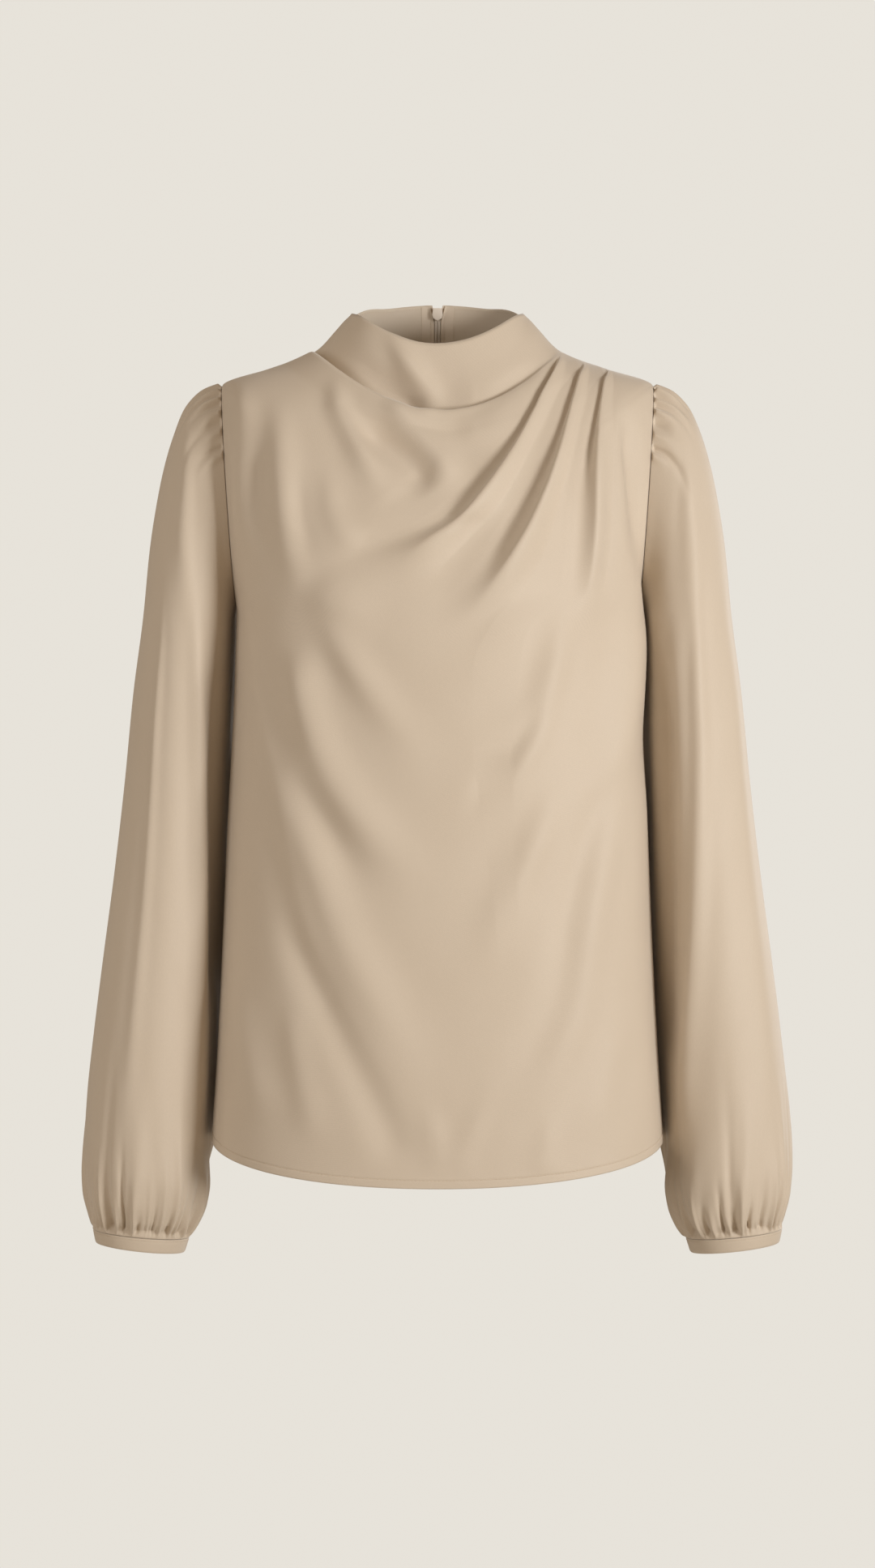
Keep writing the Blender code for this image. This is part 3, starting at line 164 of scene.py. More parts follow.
# The front's soft folds: rise, width, start, end and path.
# rise: outwards, or inwards below 0, in mm. width: to where a fold has dropped to 0.6 of its rise, in mm.
# start, end: the shares of its length over which it runs in and out.
# path: x, z in mm, as seen from the eye.
FRONT_FOLDS = (
    # Collar: the ridge and the hollows above the roll
    (8.5, 6.5, 0.45, 0.25, ((-44, 12), (-34, 0), (-25, -12), (-15, -26), (-5, -39), (5, -54))),
    (-7, 6, 0.5, 0.3, ((-80, -4), (-64, -12), (-48, -22), (-32, -32), (-18, -41), (-5, -52))),
    (-2.5, 5, 0.3, 0.4, ((84, -12), (72, -22), (60, -30), (44, -40), (28, -46))),
    # Chest, on the wearer's right
    (7, 9, 0.45, 0.5, ((-126, -36), (-125, -60), (-123, -90), (-120, -138), (-110, -184), (-98, -206))),
    (4, 8, 0.2, 0.5, ((-153, -26), (-155, -60), (-155, -110), (-151, -165), (-146, -215))),
    (-4, 6, 0.4, 0.4, ((-140, -72), (-143, -98), (-142, -130), (-137, -165))),
    (7, 7, 0.2, 0.5, ((-84, -26), (-78, -50), (-67, -72), (-57, -92), (-46, -111), (-34, -127))),
    (8.5, 9, 0.3, 0.35, ((-45, -42), (-29, -58), (-9, -81), (6, -102), (13, -118))),
    (-10, 8, 0.4, 0.2, ((-72, -52), (-54, -67), (-37, -79), (-17, -95), (-4, -118))),
    (-2.2, 5, 0.3, 0.4, ((-111, -90), (-109, -130), (-103, -160), (-92, -176))),
    (3, 8, 0.3, 0.4, ((-90, -94), (-83, -130), (-70, -155), (-50, -168))),
    (3.5, 9, 0.3, 0.5, ((13, -61), (32, -67), (51, -58), (70, -35))),
    (-3.5, 8, 0.4, 0.5, ((-4, -143), (-40, -153), (-70, -163), (-86, -178))),
    (7, 16, 0.45, 0.5, ((-104, -184), (-88, -197), (-66, -209), (-40, -222))),
    # Chest, on the wearer's left
    (-4, 9, 0.4, 0.5, ((46, -126), (30, -147), (7, -180), (-13, -211))),
    (4, 10, 0.5, 0.5, ((78, -175), (64, -205), (48, -240), (30, -280))),
    (5, 7, 0.2, 0.4, ((138, -36), (142, -80), (146, -130), (147, -180), (143, -230))),
    (-9, 7, 0.3, 0.4, ((146, -48), (151, -80), (155, -115), (158, -150), (157, -195))),
    # Body
    (6, 10, 0.4, 0.6, ((-96, -212), (-80, -234), (-61, -262), (-42, -288), (-20, -314), (2, -332))),
    (9, 12, 0.2, 0.5,
     ((-113, -234), (-110, -262), (-101, -300), (-86, -338), (-67, -366), (-46, -391), (-24, -413),
      (-4, -432))),
    (-3.5, 9, 0.3, 0.4, ((-124, -318), (-104, -362), (-78, -401), (-48, -444))),
    (2, 6, 0.3, 0.35,
     ((-154, -192), (-147, -242), (-137, -312), (-129, -350), (-118, -406), (-107, -450), (-96, -490),
      (-84, -528))),
    (7.5, 13, 0.2, 0.4,
     ((-124, -305), (-117, -343), (-103, -395), (-87, -440), (-67, -485), (-45, -527), (-25, -566),
      (-8, -612))),
    (-5, 9, 0.3, 0.2,
     ((-122, -436), (-114, -467), (-94, -515), (-74, -555), (-52, -595), (-36, -630), (-28, -655))),
    (3.5, 9, 0.35, 0.3, ((-160, -490), (-157, -530), (-149, -575), (-134, -622))),
    (3, 8, 0.4, 0.3, ((-118, -515), (-113, -550), (-104, -595), (-92, -640))),
    (6, 9, 0.3, 0.5,
     ((104, -196), (97, -232), (91, -260), (83, -286), (73, -312), (60, -338), (45, -364), (28, -390))),
    (-6, 6, 0.4, 0.4, ((84, -276), (74, -299), (54, -327), (38, -351), (22, -379))),
    (6.5, 10, 0.4, 0.5, ((96, -340), (86, -372), (72, -405), (58, -436), (42, -470), (28, -505))),
    (12, 11, 0.2, 0.35,
     ((157, -150), (157, -190), (155, -230), (151, -272), (144, -317), (136, -356), (128, -394),
      (120, -432), (112, -474), (103, -520), (90, -558), (76, -592), (64, -618))),
    (-11, 10, 0.3, 0.4,
     ((147, -300), (136, -345), (126, -379), (110, -447), (99, -515), (78, -563), (54, -603))),
    (3, 9, 0.3, 0.5, ((163, -300), (160, -360), (154, -430), (146, -500), (136, -560))),
    (4, 10, 0.4, 0.4, ((146, -520), (138, -560), (128, -600), (120, -640))),
    # Hem
    (2, 7, 0.5, 0.2, ((-14, -590), (-3, -625), (2, -655))),
    (2, 7, 0.5, 0.2, ((48, -580), (28, -620), (13, -655))),
    (2.2, 7, 0.5, 0.2, ((92, -600), (86, -632), (84, -659))),
)
# The back's soft folds, on each half. path: across, down.
BACK_FOLDS = {
    "left": (
        (5.5, 11, 0.3, 0.4, ((0.8, 0.14), (0.72, 0.19), (0.6, 0.25), (0.44, 0.3))),
        (5, 10, 0.3, 0.4, ((0.82, 0.29), (0.74, 0.33), (0.64, 0.37), (0.48, 0.41), (0.32, 0.43))),
        (6.5, 11, 0.3, 0.3, ((0.8, 0.38), (0.72, 0.43), (0.58, 0.49), (0.42, 0.53))),
        (5, 12, 0.3, 0.3, ((0.34, 0.09), (0.31, 0.2), (0.3, 0.33))),
        (6, 11, 0.4, 0.3, ((0.8, 0.5), (0.72, 0.57), (0.62, 0.63), (0.55, 0.67))),
    ),
    "right": (
        (6, 10, 0.3, 0.5, ((0.8, 0.17), (0.7, 0.23), (0.54, 0.29), (0.34, 0.33))),
        (5.5, 11, 0.3, 0.4, ((0.82, 0.34), (0.72, 0.4), (0.58, 0.45), (0.46, 0.48))),
        (5, 10, 0.3, 0.3, ((0.78, 0.44), (0.7, 0.51), (0.6, 0.58), (0.52, 0.64))),
        (4.5, 11, 0.3, 0.3, ((0.42, 0.08), (0.38, 0.17), (0.4, 0.27))),
        (4.5, 12, 0.4, 0.3, ((0.3, 0.4), (0.28, 0.5), (0.32, 0.62))),
    ),
}

# The sleeve's rings, from the armhole to the cuff's seam.
# out_x, out_z: the ring's top or outer end. in_x, in_z: its end beside the body.
# front, back: its reach in y.
# behind: how far its inner back reaches behind the body's side.
SLEEVE_COLUMNS = ("along", "out_x", "out_z", "in_x", "in_z", "front", "back", "behind")
SLEEVE_RINGS = (
    (0.000, 0.1703, -0.0330, 0.1587, -0.2080, 0.0455, 0.0435, 0.000),
    (0.030, 0.1860, -0.0390, 0.1602, -0.2135, 0.0480, 0.0460, 0.002),
    (0.070, 0.2008, -0.0545, 0.1614, -0.2220, 0.0510, 0.0490, 0.008),
    (0.120, 0.2110, -0.0800, 0.1624, -0.2360, 0.0535, 0.0515, 0.013),
    (0.180, 0.2190, -0.1120, 0.1640, -0.2560, 0.0550, 0.0530, 0.017),
    (0.260, 0.2268, -0.1600, 0.1658, -0.2860, 0.0555, 0.0540, 0.020),
    (0.350, 0.2322, -0.2150, 0.1680, -0.3220, 0.0555, 0.0540, 0.020),
    (0.450, 0.2400, -0.2750, 0.1700, -0.3700, 0.0550, 0.0535, 0.023),
    (0.550, 0.2468, -0.3450, 0.1724, -0.4250, 0.0545, 0.0530, 0.024),
    (0.650, 0.2548, -0.4150, 0.1748, -0.4800, 0.0545, 0.0530, 0.025),
    (0.750, 0.2640, -0.4850, 0.1774, -0.5380, 0.0550, 0.0535, 0.026),
    (0.830, 0.2715, -0.5450, 0.1796, -0.5860, 0.0555, 0.0545, 0.027),
    (0.890, 0.2768, -0.5950, 0.1812, -0.6280, 0.0560, 0.0550, 0.018),
    (0.935, 0.2792, -0.6400, 0.1806, -0.6580, 0.0560, 0.0550, 0.004),
    (0.965, 0.2785, -0.6680, 0.1832, -0.6790, 0.0530, 0.0520, 0.000),
    (0.985, 0.2752, -0.6860, 0.1888, -0.6945, 0.0465, 0.0455, 0.000),
    (1.000, 0.2722, -0.6975, 0.1960, -0.7048, 0.0365, 0.0360, 0.000),
)
BEHIND_TURN, BEHIND_WIDTH = 4.05, 0.35  # where round the sleeve it reaches furthest behind, in radians
SLEEVE_SIDES = {
    # The inside front of each sleeve turns back sharply from a ridge, over a hollow beside the body.
    # path: turn in degrees, along.
    "left": (
        (5, 8, 0.2, 0.2, ((80, 0.16), (90, 0.42), (112, 0.66), (132, 0.8), (144, 0.91))),
        (-7, 12, 0.2, 0.3, ((128, 0.14), (138, 0.42), (150, 0.62), (160, 0.74), (168, 0.82))),
        (2.6, 10, 0.3, 0.3, ((35, 0.2), (40, 0.5), (48, 0.8), (52, 0.95))),
        (4, 10, 0.3, 0.4, ((60, 0.06), (74, 0.16), (84, 0.3))),
        (5, 11, 0.3, 0.3, ((230, 0.2), (262, 0.45), (280, 0.72), (286, 0.94))),
        (4.5, 10, 0.3, 0.3, ((320, 0.1), (312, 0.38), (322, 0.7), (318, 0.93))),
    ),
    "right": (
        (5, 9, 0.2, 0.2, ((100, 0.14), (122, 0.42), (140, 0.66), (148, 0.8), (152, 0.91))),
        (-6, 12, 0.2, 0.2, ((136, 0.12), (152, 0.42), (168, 0.6), (176, 0.74))),
        (2.4, 4.5, 0.2, 0.3, ((58, 0.26), (66, 0.45), (72, 0.66), (74, 0.8), (76, 0.94))),
        (3.5, 10, 0.3, 0.4, ((52, 0.05), (72, 0.14), (92, 0.28))),
        (5, 11, 0.3, 0.3, ((234, 0.2), (258, 0.45), (276, 0.72), (290, 0.94))),
        (4.5, 10, 0.3, 0.3, ((324, 0.1), (314, 0.4), (318, 0.72), (324, 0.93))),
    ),
}
SLEEVE_ROUND, SLEEVE_LENGTH = 0.055, 0.62  # the sleeve's mean radius, and its length
# The gathers: their count, from and to round the sleeve, then the least and most rise, width and length.
HEAD_GATHERS = ((22, -1.3, 1.3, (1.8 * MM, 3.8 * MM), (1.7 * MM, 3.2 * MM), (0.024, 0.080)),)
CUFF_GATHERS = (
    (42, 0, 2 * np.pi, (2.4 * MM, 5.4 * MM), (1.6 * MM, 3.0 * MM), (0.018, 0.070)),
    (16, 0, 2 * np.pi, (2.0 * MM, 4.2 * MM), (3.0 * MM, 5.2 * MM), (0.065, 0.135)),
)
GATHER_SEEDS = {"left": 3, "right": 8}

# The cuff is a band with its rings as on the sleeve, cut below the sleeve's last ring.
CUFF_RINGS = (
    (0.0, 0.2722, -0.6975, 0.1960, -0.7048, 0.0365, 0.0360, 0.0),
    (1.0, 0.2700, -0.7080, 0.1996, -0.7160, 0.0340, 0.0335, 0.0),
)
CUFF_GAP = 0.33 * MM  # straight down, so that the slanting seam is 0.3 mm open
# The coil's threads wind round lines beside the seam's centre, inside the back.
COIL_TOP, COIL_FOOT, COIL_PITCH = 0.0135, 0.1885, 1.2 * MM
COIL_IN, COIL_SIDE, COIL_HALF, COIL_DEPTH = 2.1 * MM, 1.2 * MM, 0.85 * MM, 0.45 * MM
COIL_THREAD, COIL_SIDES, COIL_STEPS = 0.32 * MM, 6, 12  # the thread's radius and sides, and steps to a turn
TAPE_SEAT, TAPE_TURN, TAPE_TURN_END = 0.55 * MM, 0.9 * MM, 5.5 * MM  # in from the back's outer face
TAPE_FACE, TAPE_STITCH = 1.2 * MM, 5.4 * MM  # its inner face and its row of stitches
TAPE_STITCH_END, TAPE_STITCH_STEPS = 3 * MM, 60  # the row ends this far above the zip's foot
COLLAR_STITCH = 2.8 * MM  # from the collar's top edge
COLLAR_CORNER_DEPTH, COLLAR_HALF = 26 * MM, 68 * MM
CORNER_DROP, CORNER_WIDTH = 2.0 * MM, 5.5 * MM
CORNER_RISE, CORNER_RISE_AT, CORNER_RISE_WIDTH = 1.9 * MM, 54 * MM, 10 * MM
CUFF_HEIGHT, CUFF_ROUND = 10.5 * MM, 0.5 * MM
CUFF_STITCH, CUFF_STITCH_WIDTH, CUFF_DIP = 1.7 * MM, 0.7 * MM, 0.25 * MM

# Zip: tapes and coil inside the centre back, a slider at the top and its pull outside.
ZIP_LENGTH = 0.19  # down the centre back
TAPE_IN, TAPE_OUT = 2.5 * MM, 13 * MM
TAPE_WALL = 0.3 * MM
TAPE_COLUMNS = np.array([2.5, 3.2, 4.0, 5.0, 7.5, 10, 12.4, 12.8, 13]) * MM
NOTCH_HALF, NOTCH_DEPTH = 4.5 * MM, 14 * MM
TAPE_ROWS = ((0.001, 24), (NOTCH_DEPTH + 4 * MM, 60), (ZIP_LENGTH, 0))
METAL_EDGES = {"zip_slider": 0.25 * MM, "zip_pull": 0.22 * MM}  # the radii of their rounded edges
EDGE_STEPS = 3
WELD, FLAT_ANGLE, EDGE_ANGLE = 1e-6, math.radians(3), math.radians(35)  # of a CAD piece's points and edges

# The rows of stitches: a stitch's length, the gap to the next one and the thread's radius, in mm.
STITCHES = {
    "hem_stitches": (2.2, 0.7, 0.16),
    "collar_stitches": (1.7, 0.8, 0.15),
    "cuff_stitches": (1.8, 0.7, 0.16),
    "zip_stitches": (2.0, 0.9, 0.14),
}
STITCH_SIDES = 5
STITCH_PLACES = np.array([-0.5, -0.34, 0.0, 0.34, 0.5])  # along a stitch, as shares of its length
STITCH_LIFTS = np.array([-0.9, 0.35, 0.7, 0.35, -0.9])  # off the cloth there, as shares of its radius

CREPE, CREPE_DEEP = (0.672, 0.575, 0.460), (0.632, 0.534, 0.418)
THREAD, TAPE, COIL, METAL = (0.60, 0.49, 0.37), (0.655, 0.555, 0.44), (0.80, 0.72, 0.62), (0.82, 0.73, 0.63)
ROUGHNESS = {
    "champagne_crepe": 0.58, "thread": 0.7, "zip_tape": 0.75, "zip_coil": 0.45, "zip_metal": 0.35,
    "studio_paper": 0.9,
}
TWILL_TURN = 58  # degrees
GRAIN_SHARE, WEAVE_SHADE = 0.55, 0.10  # the grain's share of the weave, and how much the weave shades the tone
CREPE_BUMP, TAPE_BUMP, FINE_BUMP = (0.16, 0.2 * MM), (0.14, 0.2 * MM), (0.08, 0.1 * MM)  # strength, distance
PALE, SKY = (0.80, 0.765, 0.70), (1.0, 0.80, 0.60)
SKY_STRENGTH = 0.35
FLOOR_Z, FLOOR_FRONT, WALL_Y, WALL_TOP, WALL_HALF, SWEEP = -1.35, -6.0, 4.5, 4.0, 9.0, 0.8
SWEEP_STEPS = 12
# The lamps: name, place, target, size, power and spread in degrees.
LAMPS = (
    ("key", (2.3, -2.1, -0.12), (0, 0, -0.15), 0.9, 12.5, 75),
    ("fill", (-2.5, -2.1, 0.15), (0, 0, -0.15), 1.8, 7.0, 90),
    ("back", (2.2, 3.0, -0.1), (0, 0, -0.3), 1.6, 6.0, 80),
)


def table(rows, columns, name):
    """One named column of a table."""
    return np.array([row[columns.index(name)] for row in rows])


def smooth(knots, values, where):
    """A smooth curve through the knots that never overshoots them (monotone cubic)."""
    knots, values, where = np.asarray(knots, float), np.asarray(values, float), np.asarray(where, float)
    step = np.diff(knots)
    slope = np.diff(values) / step
    tangent = np.zeros(len(knots))
    tangent[0], tangent[-1] = slope[0], slope[-1]
    before, after = slope[:-1], slope[1:]
    same_way = before * after > 0
    weight = step[:-1] + 2 * step[1:], 2 * step[:-1] + step[1:]
    harmonic = (weight[0] + weight[1])[same_way] / (
        (weight[1] / np.where(same_way, before, 1) + weight[0] / np.where(same_way, after, 1))[same_way]
    )
    tangent[1:-1][same_way] = harmonic
    piece = np.clip(np.searchsorted(knots, where, side="right") - 1, 0, len(step) - 1)
    share = (where - knots[piece]) / step[piece]
    rest = 1 - share
    return (
        values[piece] * (1 + 2 * share) * rest**2
        + tangent[piece] * step[piece] * share * rest**2
        + values[piece + 1] * (3 - 2 * share) * share**2
        - tangent[piece + 1] * step[piece] * share**2 * rest
    )


def ease(share):
    """A smooth step from 0 at 0 to 1 at 1."""
    share = np.clip(share, 0, 1)
    return share * share * (3 - 2 * share)


def unit(vectors):
    return vectors / np.linalg.norm(vectors, axis=-1, keepdims=True)


def column(rows, columns, name, where):
    """A named column of a table, as a smooth curve over the table's first column."""
    return smooth(table(rows, columns, columns[0]), table(rows, columns, name), where)


def body_column(name, down):
    return column(BODY_SECTIONS, BODY_COLUMNS, name, down)


def armhole_turn(down):
    """How far round the armhole a row is: 0 at the shoulder point, pi at the underarm."""
    return np.pi * np.clip((down - SHOULDER_POINT) / (UNDERARM - SHOULDER_POINT), 0, 1)


def armhole(down):
    """The x and z of the armhole's edge at each row."""
    middle = np.add(ARMHOLE_TOP, ARMHOLE_FOOT) / 2
    half = np.subtract(ARMHOLE_TOP, ARMHOLE_FOOT) / 2
    return [middle[axis] + half[axis] * np.cos(armhole_turn(down)) for axis in (0, 1)]


def forward(side):
    """The way that the front or the back faces along y."""
    return -1 if side == "front" else 1


def rounded(share, power):
    """The other side of a squared circle: for a power of 2, a cosine whose sine is the share."""
    return (1 - np.clip(share, 0, 1) ** power) ** (1 / power)


def edge_reach(side, down):
    """How far forward or back a panel's edge reaches: along the armhole only."""
    return forward(side) * ARMHOLE_REACH[side] * np.sin(armhole_turn(down))


def spread(value_at, down, reach):
    """A value evened out over its neighbours up and down."""
    return sum(value_at(down + step * reach) * share for step, share in zip(EVEN_STEPS, EVEN_SHARES))


def section_turn(side, down):
    """The angle that a section makes from its centre line to its edge, evened out."""
    reach = spread(lambda row: edge_reach(side, row), down, EVENED)
    return np.arcsin(rounded(reach / body_column(side + "_y", down), SQUARENESS[side]))


def evened(name, down):
    """A column of the sections, evened out from the shoulder to the underarm."""
    begins, ends = (down - SHOULDER_START) / EVENED_IN, (UNDERARM + EVENED_IN - down) / EVENED_IN
    return spread(lambda row: body_column(name, row), down, EVENED * ease(begins) * ease(ends))


def panel_point(side, across, down):
    """A point of the front's or the back's outer face, without its folds."""
    across, down = np.broadcast_arrays(np.asarray(across, float), np.asarray(down, float))
    edge_x, edge_z = evened("side_x", down), evened("side_z", down)
    centre_y, centre_z = body_column(side + "_y", down), body_column(side + "_z", down)
    quarter = section_turn(side, down)
    angle = np.abs(across) * quarter
    out = np.sin(angle) / np.sin(quarter)
    round_share = (1 - np.cos(angle)) / (1 - np.cos(quarter))
    swing = body_column("swing", down)
    x = edge_x * out
    y = centre_y * rounded(np.sin(angle), SQUARENESS[side])
    z = centre_z + (edge_z - centre_z) * (swing * out**2 + (1 - swing) * round_share)
    # The edge follows the armhole exactly, and the cloth beside it eases towards it.
    seam_x, seam_z = body_column("side_x", down), body_column("side_z", down)
    arm_x, arm_z = armhole(down)
    on_armhole = (down >= SHOULDER_POINT) & (down <= UNDERARM)
    beside = np.abs(across) ** EDGE_POWER
    x = x + (np.where(on_armhole, arm_x, seam_x) - edge_x) * beside
    y = y + (edge_reach(side, down) - centre_y * rounded(np.sin(quarter), SQUARENESS[side])) * beside
    z = z + (np.where(on_armhole, arm_z, seam_z) - edge_z) * beside
    return np.stack([np.sign(across) * x, y + forward(side) * SEAM_GAP / 2, z], axis=-1)


def panel_frame(side, across, down):
    """A panel's point, its outward normal and the metres to one unit across, there."""
    nudge = 1e-4
    inside = np.clip(across, -1 + nudge, 1 - nudge)
    lower = np.clip(down, 0, HEM - nudge)
    right = panel_point(side, inside + nudge, down) - panel_point(side, inside - nudge, down)
    right = right / (2 * nudge)
    under = (panel_point(side, inside, lower + nudge) - panel_point(side, inside, lower)) / nudge
    normal = unit(np.cross(right, under) * forward(side))
    return panel_point(side, across, down), normal, np.linalg.norm(right, axis=-1)


def seen(point):
    """Where a point shows from the eye, as x and z on the plane y = 0."""
    nearer = VIEW / (VIEW + point[..., 1])
    return np.stack([point[..., 0] * nearer, EYE_Z + (point[..., 2] - EYE_Z) * nearer], axis=-1)


def flat_cross(first, second):
    return first[:, 0] * second[:, 1] - first[:, 1] * second[:, 0]


def on_front(path):
    """The shares across and down of the front's points that show along a path of x, z in mm."""
    target = np.array(path, float) * MM
    across, down = target[:, 0] / HALF_WIDTH, -target[:, 1]
    nudge, most, edge, tries = 1e-4, 0.05, 0.99, 60
    for _ in range(tries):
        here = seen(panel_point("front", across, down))
        by_across = (seen(panel_point("front", across + nudge, down)) - here) / nudge
        by_down = (seen(panel_point("front", across, down + nudge)) - here) / nudge
        miss = target - here
        size = flat_cross(by_across, by_down)
        step_across, step_down = flat_cross(miss, by_down) / size, flat_cross(by_across, miss) / size
        across = np.clip(across + np.clip(step_across, -most, most), -edge, edge)
        down = np.clip(down + np.clip(step_down, -most, most), 0.0, HEM - 2 * nudge)
    return across, down


def drawn(path, count):
    """A smooth line of points through a path."""
    path = np.asarray(path, float)
    along = np.linspace(0, len(path) - 1, count)
    return np.stack([smooth(np.arange(len(path)), path[:, axis], along) for axis in (0, 1)], axis=-1)


def nearest_on(line, spots):
    """Each spot's squared distance from a line, and the share along the line where it is nearest."""
    last = len(line) - 1
    near = np.clip(((spots[..., None, :] - line) ** 2).sum(axis=-1).argmin(axis=-1), 1, last - 1)
    best, share = np.inf, 0
    for first in (near - 1, near):
        step = line[first + 1] - line[first]
        reach = np.clip(((spots - line[first]) * step).sum(axis=-1) / (step**2).sum(axis=-1), 0, 1)
        square = ((spots - line[first] - step * reach[..., None]) ** 2).sum(axis=-1)
        share = np.where(square < best, (first + reach) / last, share)
        best = np.minimum(square, best)
    return best, share


def fold_height(spots, path, rise, width, start, end):
    """The height of one soft fold at spots in the plane: a crest along a path between shallow troughs."""
    square, share = nearest_on(drawn(path, FOLD_STEPS), spots)
    fade = ease(share / start) * ease((1 - share) / end)
    nearest = square / (2 * (width * (FOLD_WIDTH + FOLD_WIDENS * share)) ** 2)
    return rise * fade * (np.exp(-nearest) - TROUGH * np.exp(-nearest / TROUGH_WIDTH**2))


def with_folds(raised, spots, folds, laid):
    """Adds a table of soft folds to the heights of spots. laid puts a path on the spots' plane."""
    for rise, width, start, end, path in folds:
        raised = raised + fold_height(spots, laid(np.array(path)), rise * MM, width * MM, start, end)
    return raised


def pleat_lines(down):
    """Where the pleats run across the front at each row, and how much of each is open there."""
    lines, fades = [], []
    for row, least, most in zip(PLEATS, PLEAT_LEAST, PLEAT_MOST):
        start, full, fading, gone, _, _, path = row
        path_across, path_down = on_front(drawn(path, FOLD_STEPS))
        shown = path_down > start
        knots = np.concatenate([[0.0, start - PLEAT_LEAD], path_down[shown]])
        values = np.concatenate([[least, most], path_across[shown]])
        lines.append(np.minimum(smooth(knots, values, down), most))
        fades.append(ease((down - start) / (full - start)) * ease((gone - down) / (gone - fading)))
    return np.array(lines), np.array(fades)


def pleat_columns(rows, shares):
    """The columns that make the pleats at each row, as shares across and as rises."""
    lines, fades = pleat_lines(rows)
    names = PLEAT_SECTION_COLUMNS
    columns = np.transpose([column(PLEAT_SECTION, names, name, shares) for name in names[1:]])
    bounds = np.vstack([lines, np.ones(len(rows))])
    base, rise = [], []
    for number, (line, fade, row) in enumerate(zip(lines, fades, PLEATS)):
        start, full, fading, _, half_width, height, _ = row
        point, _, metres = panel_frame("front", line, rows)
        slant = np.gradient(point[:, 0], rows) / np.gradient(point[:, 2], rows)
        wanted = half_width * MM * np.minimum(np.hypot(1, slant), STEEPEST) / metres
        left = (line - lines[number - 1]) if number else line + 1
        room = PLEAT_ROOM * np.minimum(left, bounds[number + 1] - line)
        open_half = np.minimum(wanted, room)
        half = room + (open_half - room) * ease(2 * fade)
        scale = fade * ease(open_half / wanted)
        swell = PRESSED + (1 - PRESSED) * ease((rows - start) / SWELL)
        opened = ease((rows - full) / (fading - full))
        for flat, (side, lift, open_side, open_lift) in zip(shares, columns):
            base.append(line + half * (flat + (side + (open_side - side) * opened - flat) * scale))
            rise.append(height * MM * scale * (lift + (open_lift - lift) * opened) * swell)
    return base, rise


def notch(down):
    """Half the opening of the centre back at the zip's top."""
    return SEAM_GAP / 2 + (NOTCH_HALF - SEAM_GAP / 2) * np.clip(1 - down / NOTCH_DEPTH, 0, 1)


def ring_points(rows, along, turn):
    """Points of a sleeve's or a cuff's outer face, from its table of rings."""
    out_x, out_z, in_x, in_z, front, back, behind = (
        column(rows, SLEEVE_COLUMNS, name, along) for name in SLEEVE_COLUMNS[1:]
    )
    x = (out_x + in_x) / 2 + (out_x - in_x) / 2 * np.cos(turn)
    y = np.where(np.sin(turn) > 0, -front, back) * np.abs(np.sin(turn))
    z = (out_z + in_z) / 2 + (out_z - in_z) / 2 * np.cos(turn)
    x = x - behind * np.exp(-((turn - BEHIND_TURN) / BEHIND_WIDTH) ** 2 / 2)
    return np.stack([x, y, z], axis=-1)


def sleeve_normals(along, turn):
    nudge = 1e-3
    before, after = (ring_points(SLEEVE_RINGS, along, turn + step) for step in (-nudge, nudge))
    above, below = (ring_points(SLEEVE_RINGS, np.clip(along + step, 0, 1), turn) for step in (-nudge, nudge))
    return unit(np.cross(after - before, below - above))


def cowl_moves(rows, across):
    """How far the cowl moves the cloth down the panel and outwards."""
    share = column(COWL_REACH, REACH_COLUMNS, "share", across)
    inside = (rows > COWL_SECTION[0][0]) & (rows < COWL_SECTION[-1][0])
    shift, lift = (
        np.where(inside, column(COWL_SECTION, COWL_COLUMNS, name, rows), 0) * MM for name in ("shift", "lift")
    )
    return shift[:, None] * share, lift[:, None] * share


def run(stops):
    """Values from stop to stop, each a start and the number of steps to the next one."""
    parts = [np.linspace(here[0], after[0], here[1], endpoint=False) for here, after in zip(stops, stops[1:])]
    return np.concatenate(parts + [[stops[-1][0]]])


def even_shares(count):
    """Even shares from 0 up to, but not including, 1."""
    return np.linspace(0, 1, count, endpoint=False)


def turns(rows, count):
    """A ring's rows and its even turns, as two grids."""
    turn = np.linspace(0, 2 * np.pi, count, endpoint=False)
    return np.broadcast_arrays(run(rows)[:, None], turn[None, :])


def collar_moves(point, down, side):
    """The collar's corners are round: they drop, and the back's top edge stays high beside them."""
    near_top = ease(1 - down / COLLAR_CORNER_DEPTH)
    out = np.abs(point[..., 0])
    drop = -CORNER_DROP * np.exp(-(((out - COLLAR_HALF) / CORNER_WIDTH) ** 2))
    rise = CORNER_RISE * np.exp(-(((out - CORNER_RISE_AT) / CORNER_RISE_WIDTH) ** 2)) * (side == "back")
    return (drop + rise) * near_top


def hem_height(down):
    """The turned-up hem stands a little proud below its row of stitches, which dips."""
    below = (down - (HEM - HEM_DEPTH)) / HEM_SOFT
    return HEM_RISE * ease(below) - HEM_DIP * np.exp(-(below**2))


def front_grid():
    """The front's outer face with all its folds."""
    rows = run(FRONT_ROWS)
    base, rise = pleat_columns(rows, np.linspace(-1, 1, PLEAT_COLUMNS_SHOWN))
    right_part = [-1 + share * (base[0] + 1) for share in even_shares(RIGHT_COLUMNS)]
    left_part = [base[-1] + share * (1 - base[-1]) for share in np.linspace(0, 1, LEFT_COLUMNS)[1:]]
    across = np.array(right_part + base + left_part).T
    flat = np.zeros(len(rows))
    raised = np.array([flat] * len(right_part) + rise + [flat] * len(left_part)).T
    shift, lift = cowl_moves(rows, across)
    down = rows[:, None] + shift
    point, normal, _ = panel_frame("front", across, down)
    raised = with_folds(raised + lift, seen(point), FRONT_FOLDS, lambda path: path * MM)
    raised = raised * ease((1 - np.abs(across)) / EDGE_EASE) + hem_height(down)
    grid = point + normal * raised[..., None]
    grid[..., 2] += collar_moves(grid, down, "front")
    return grid


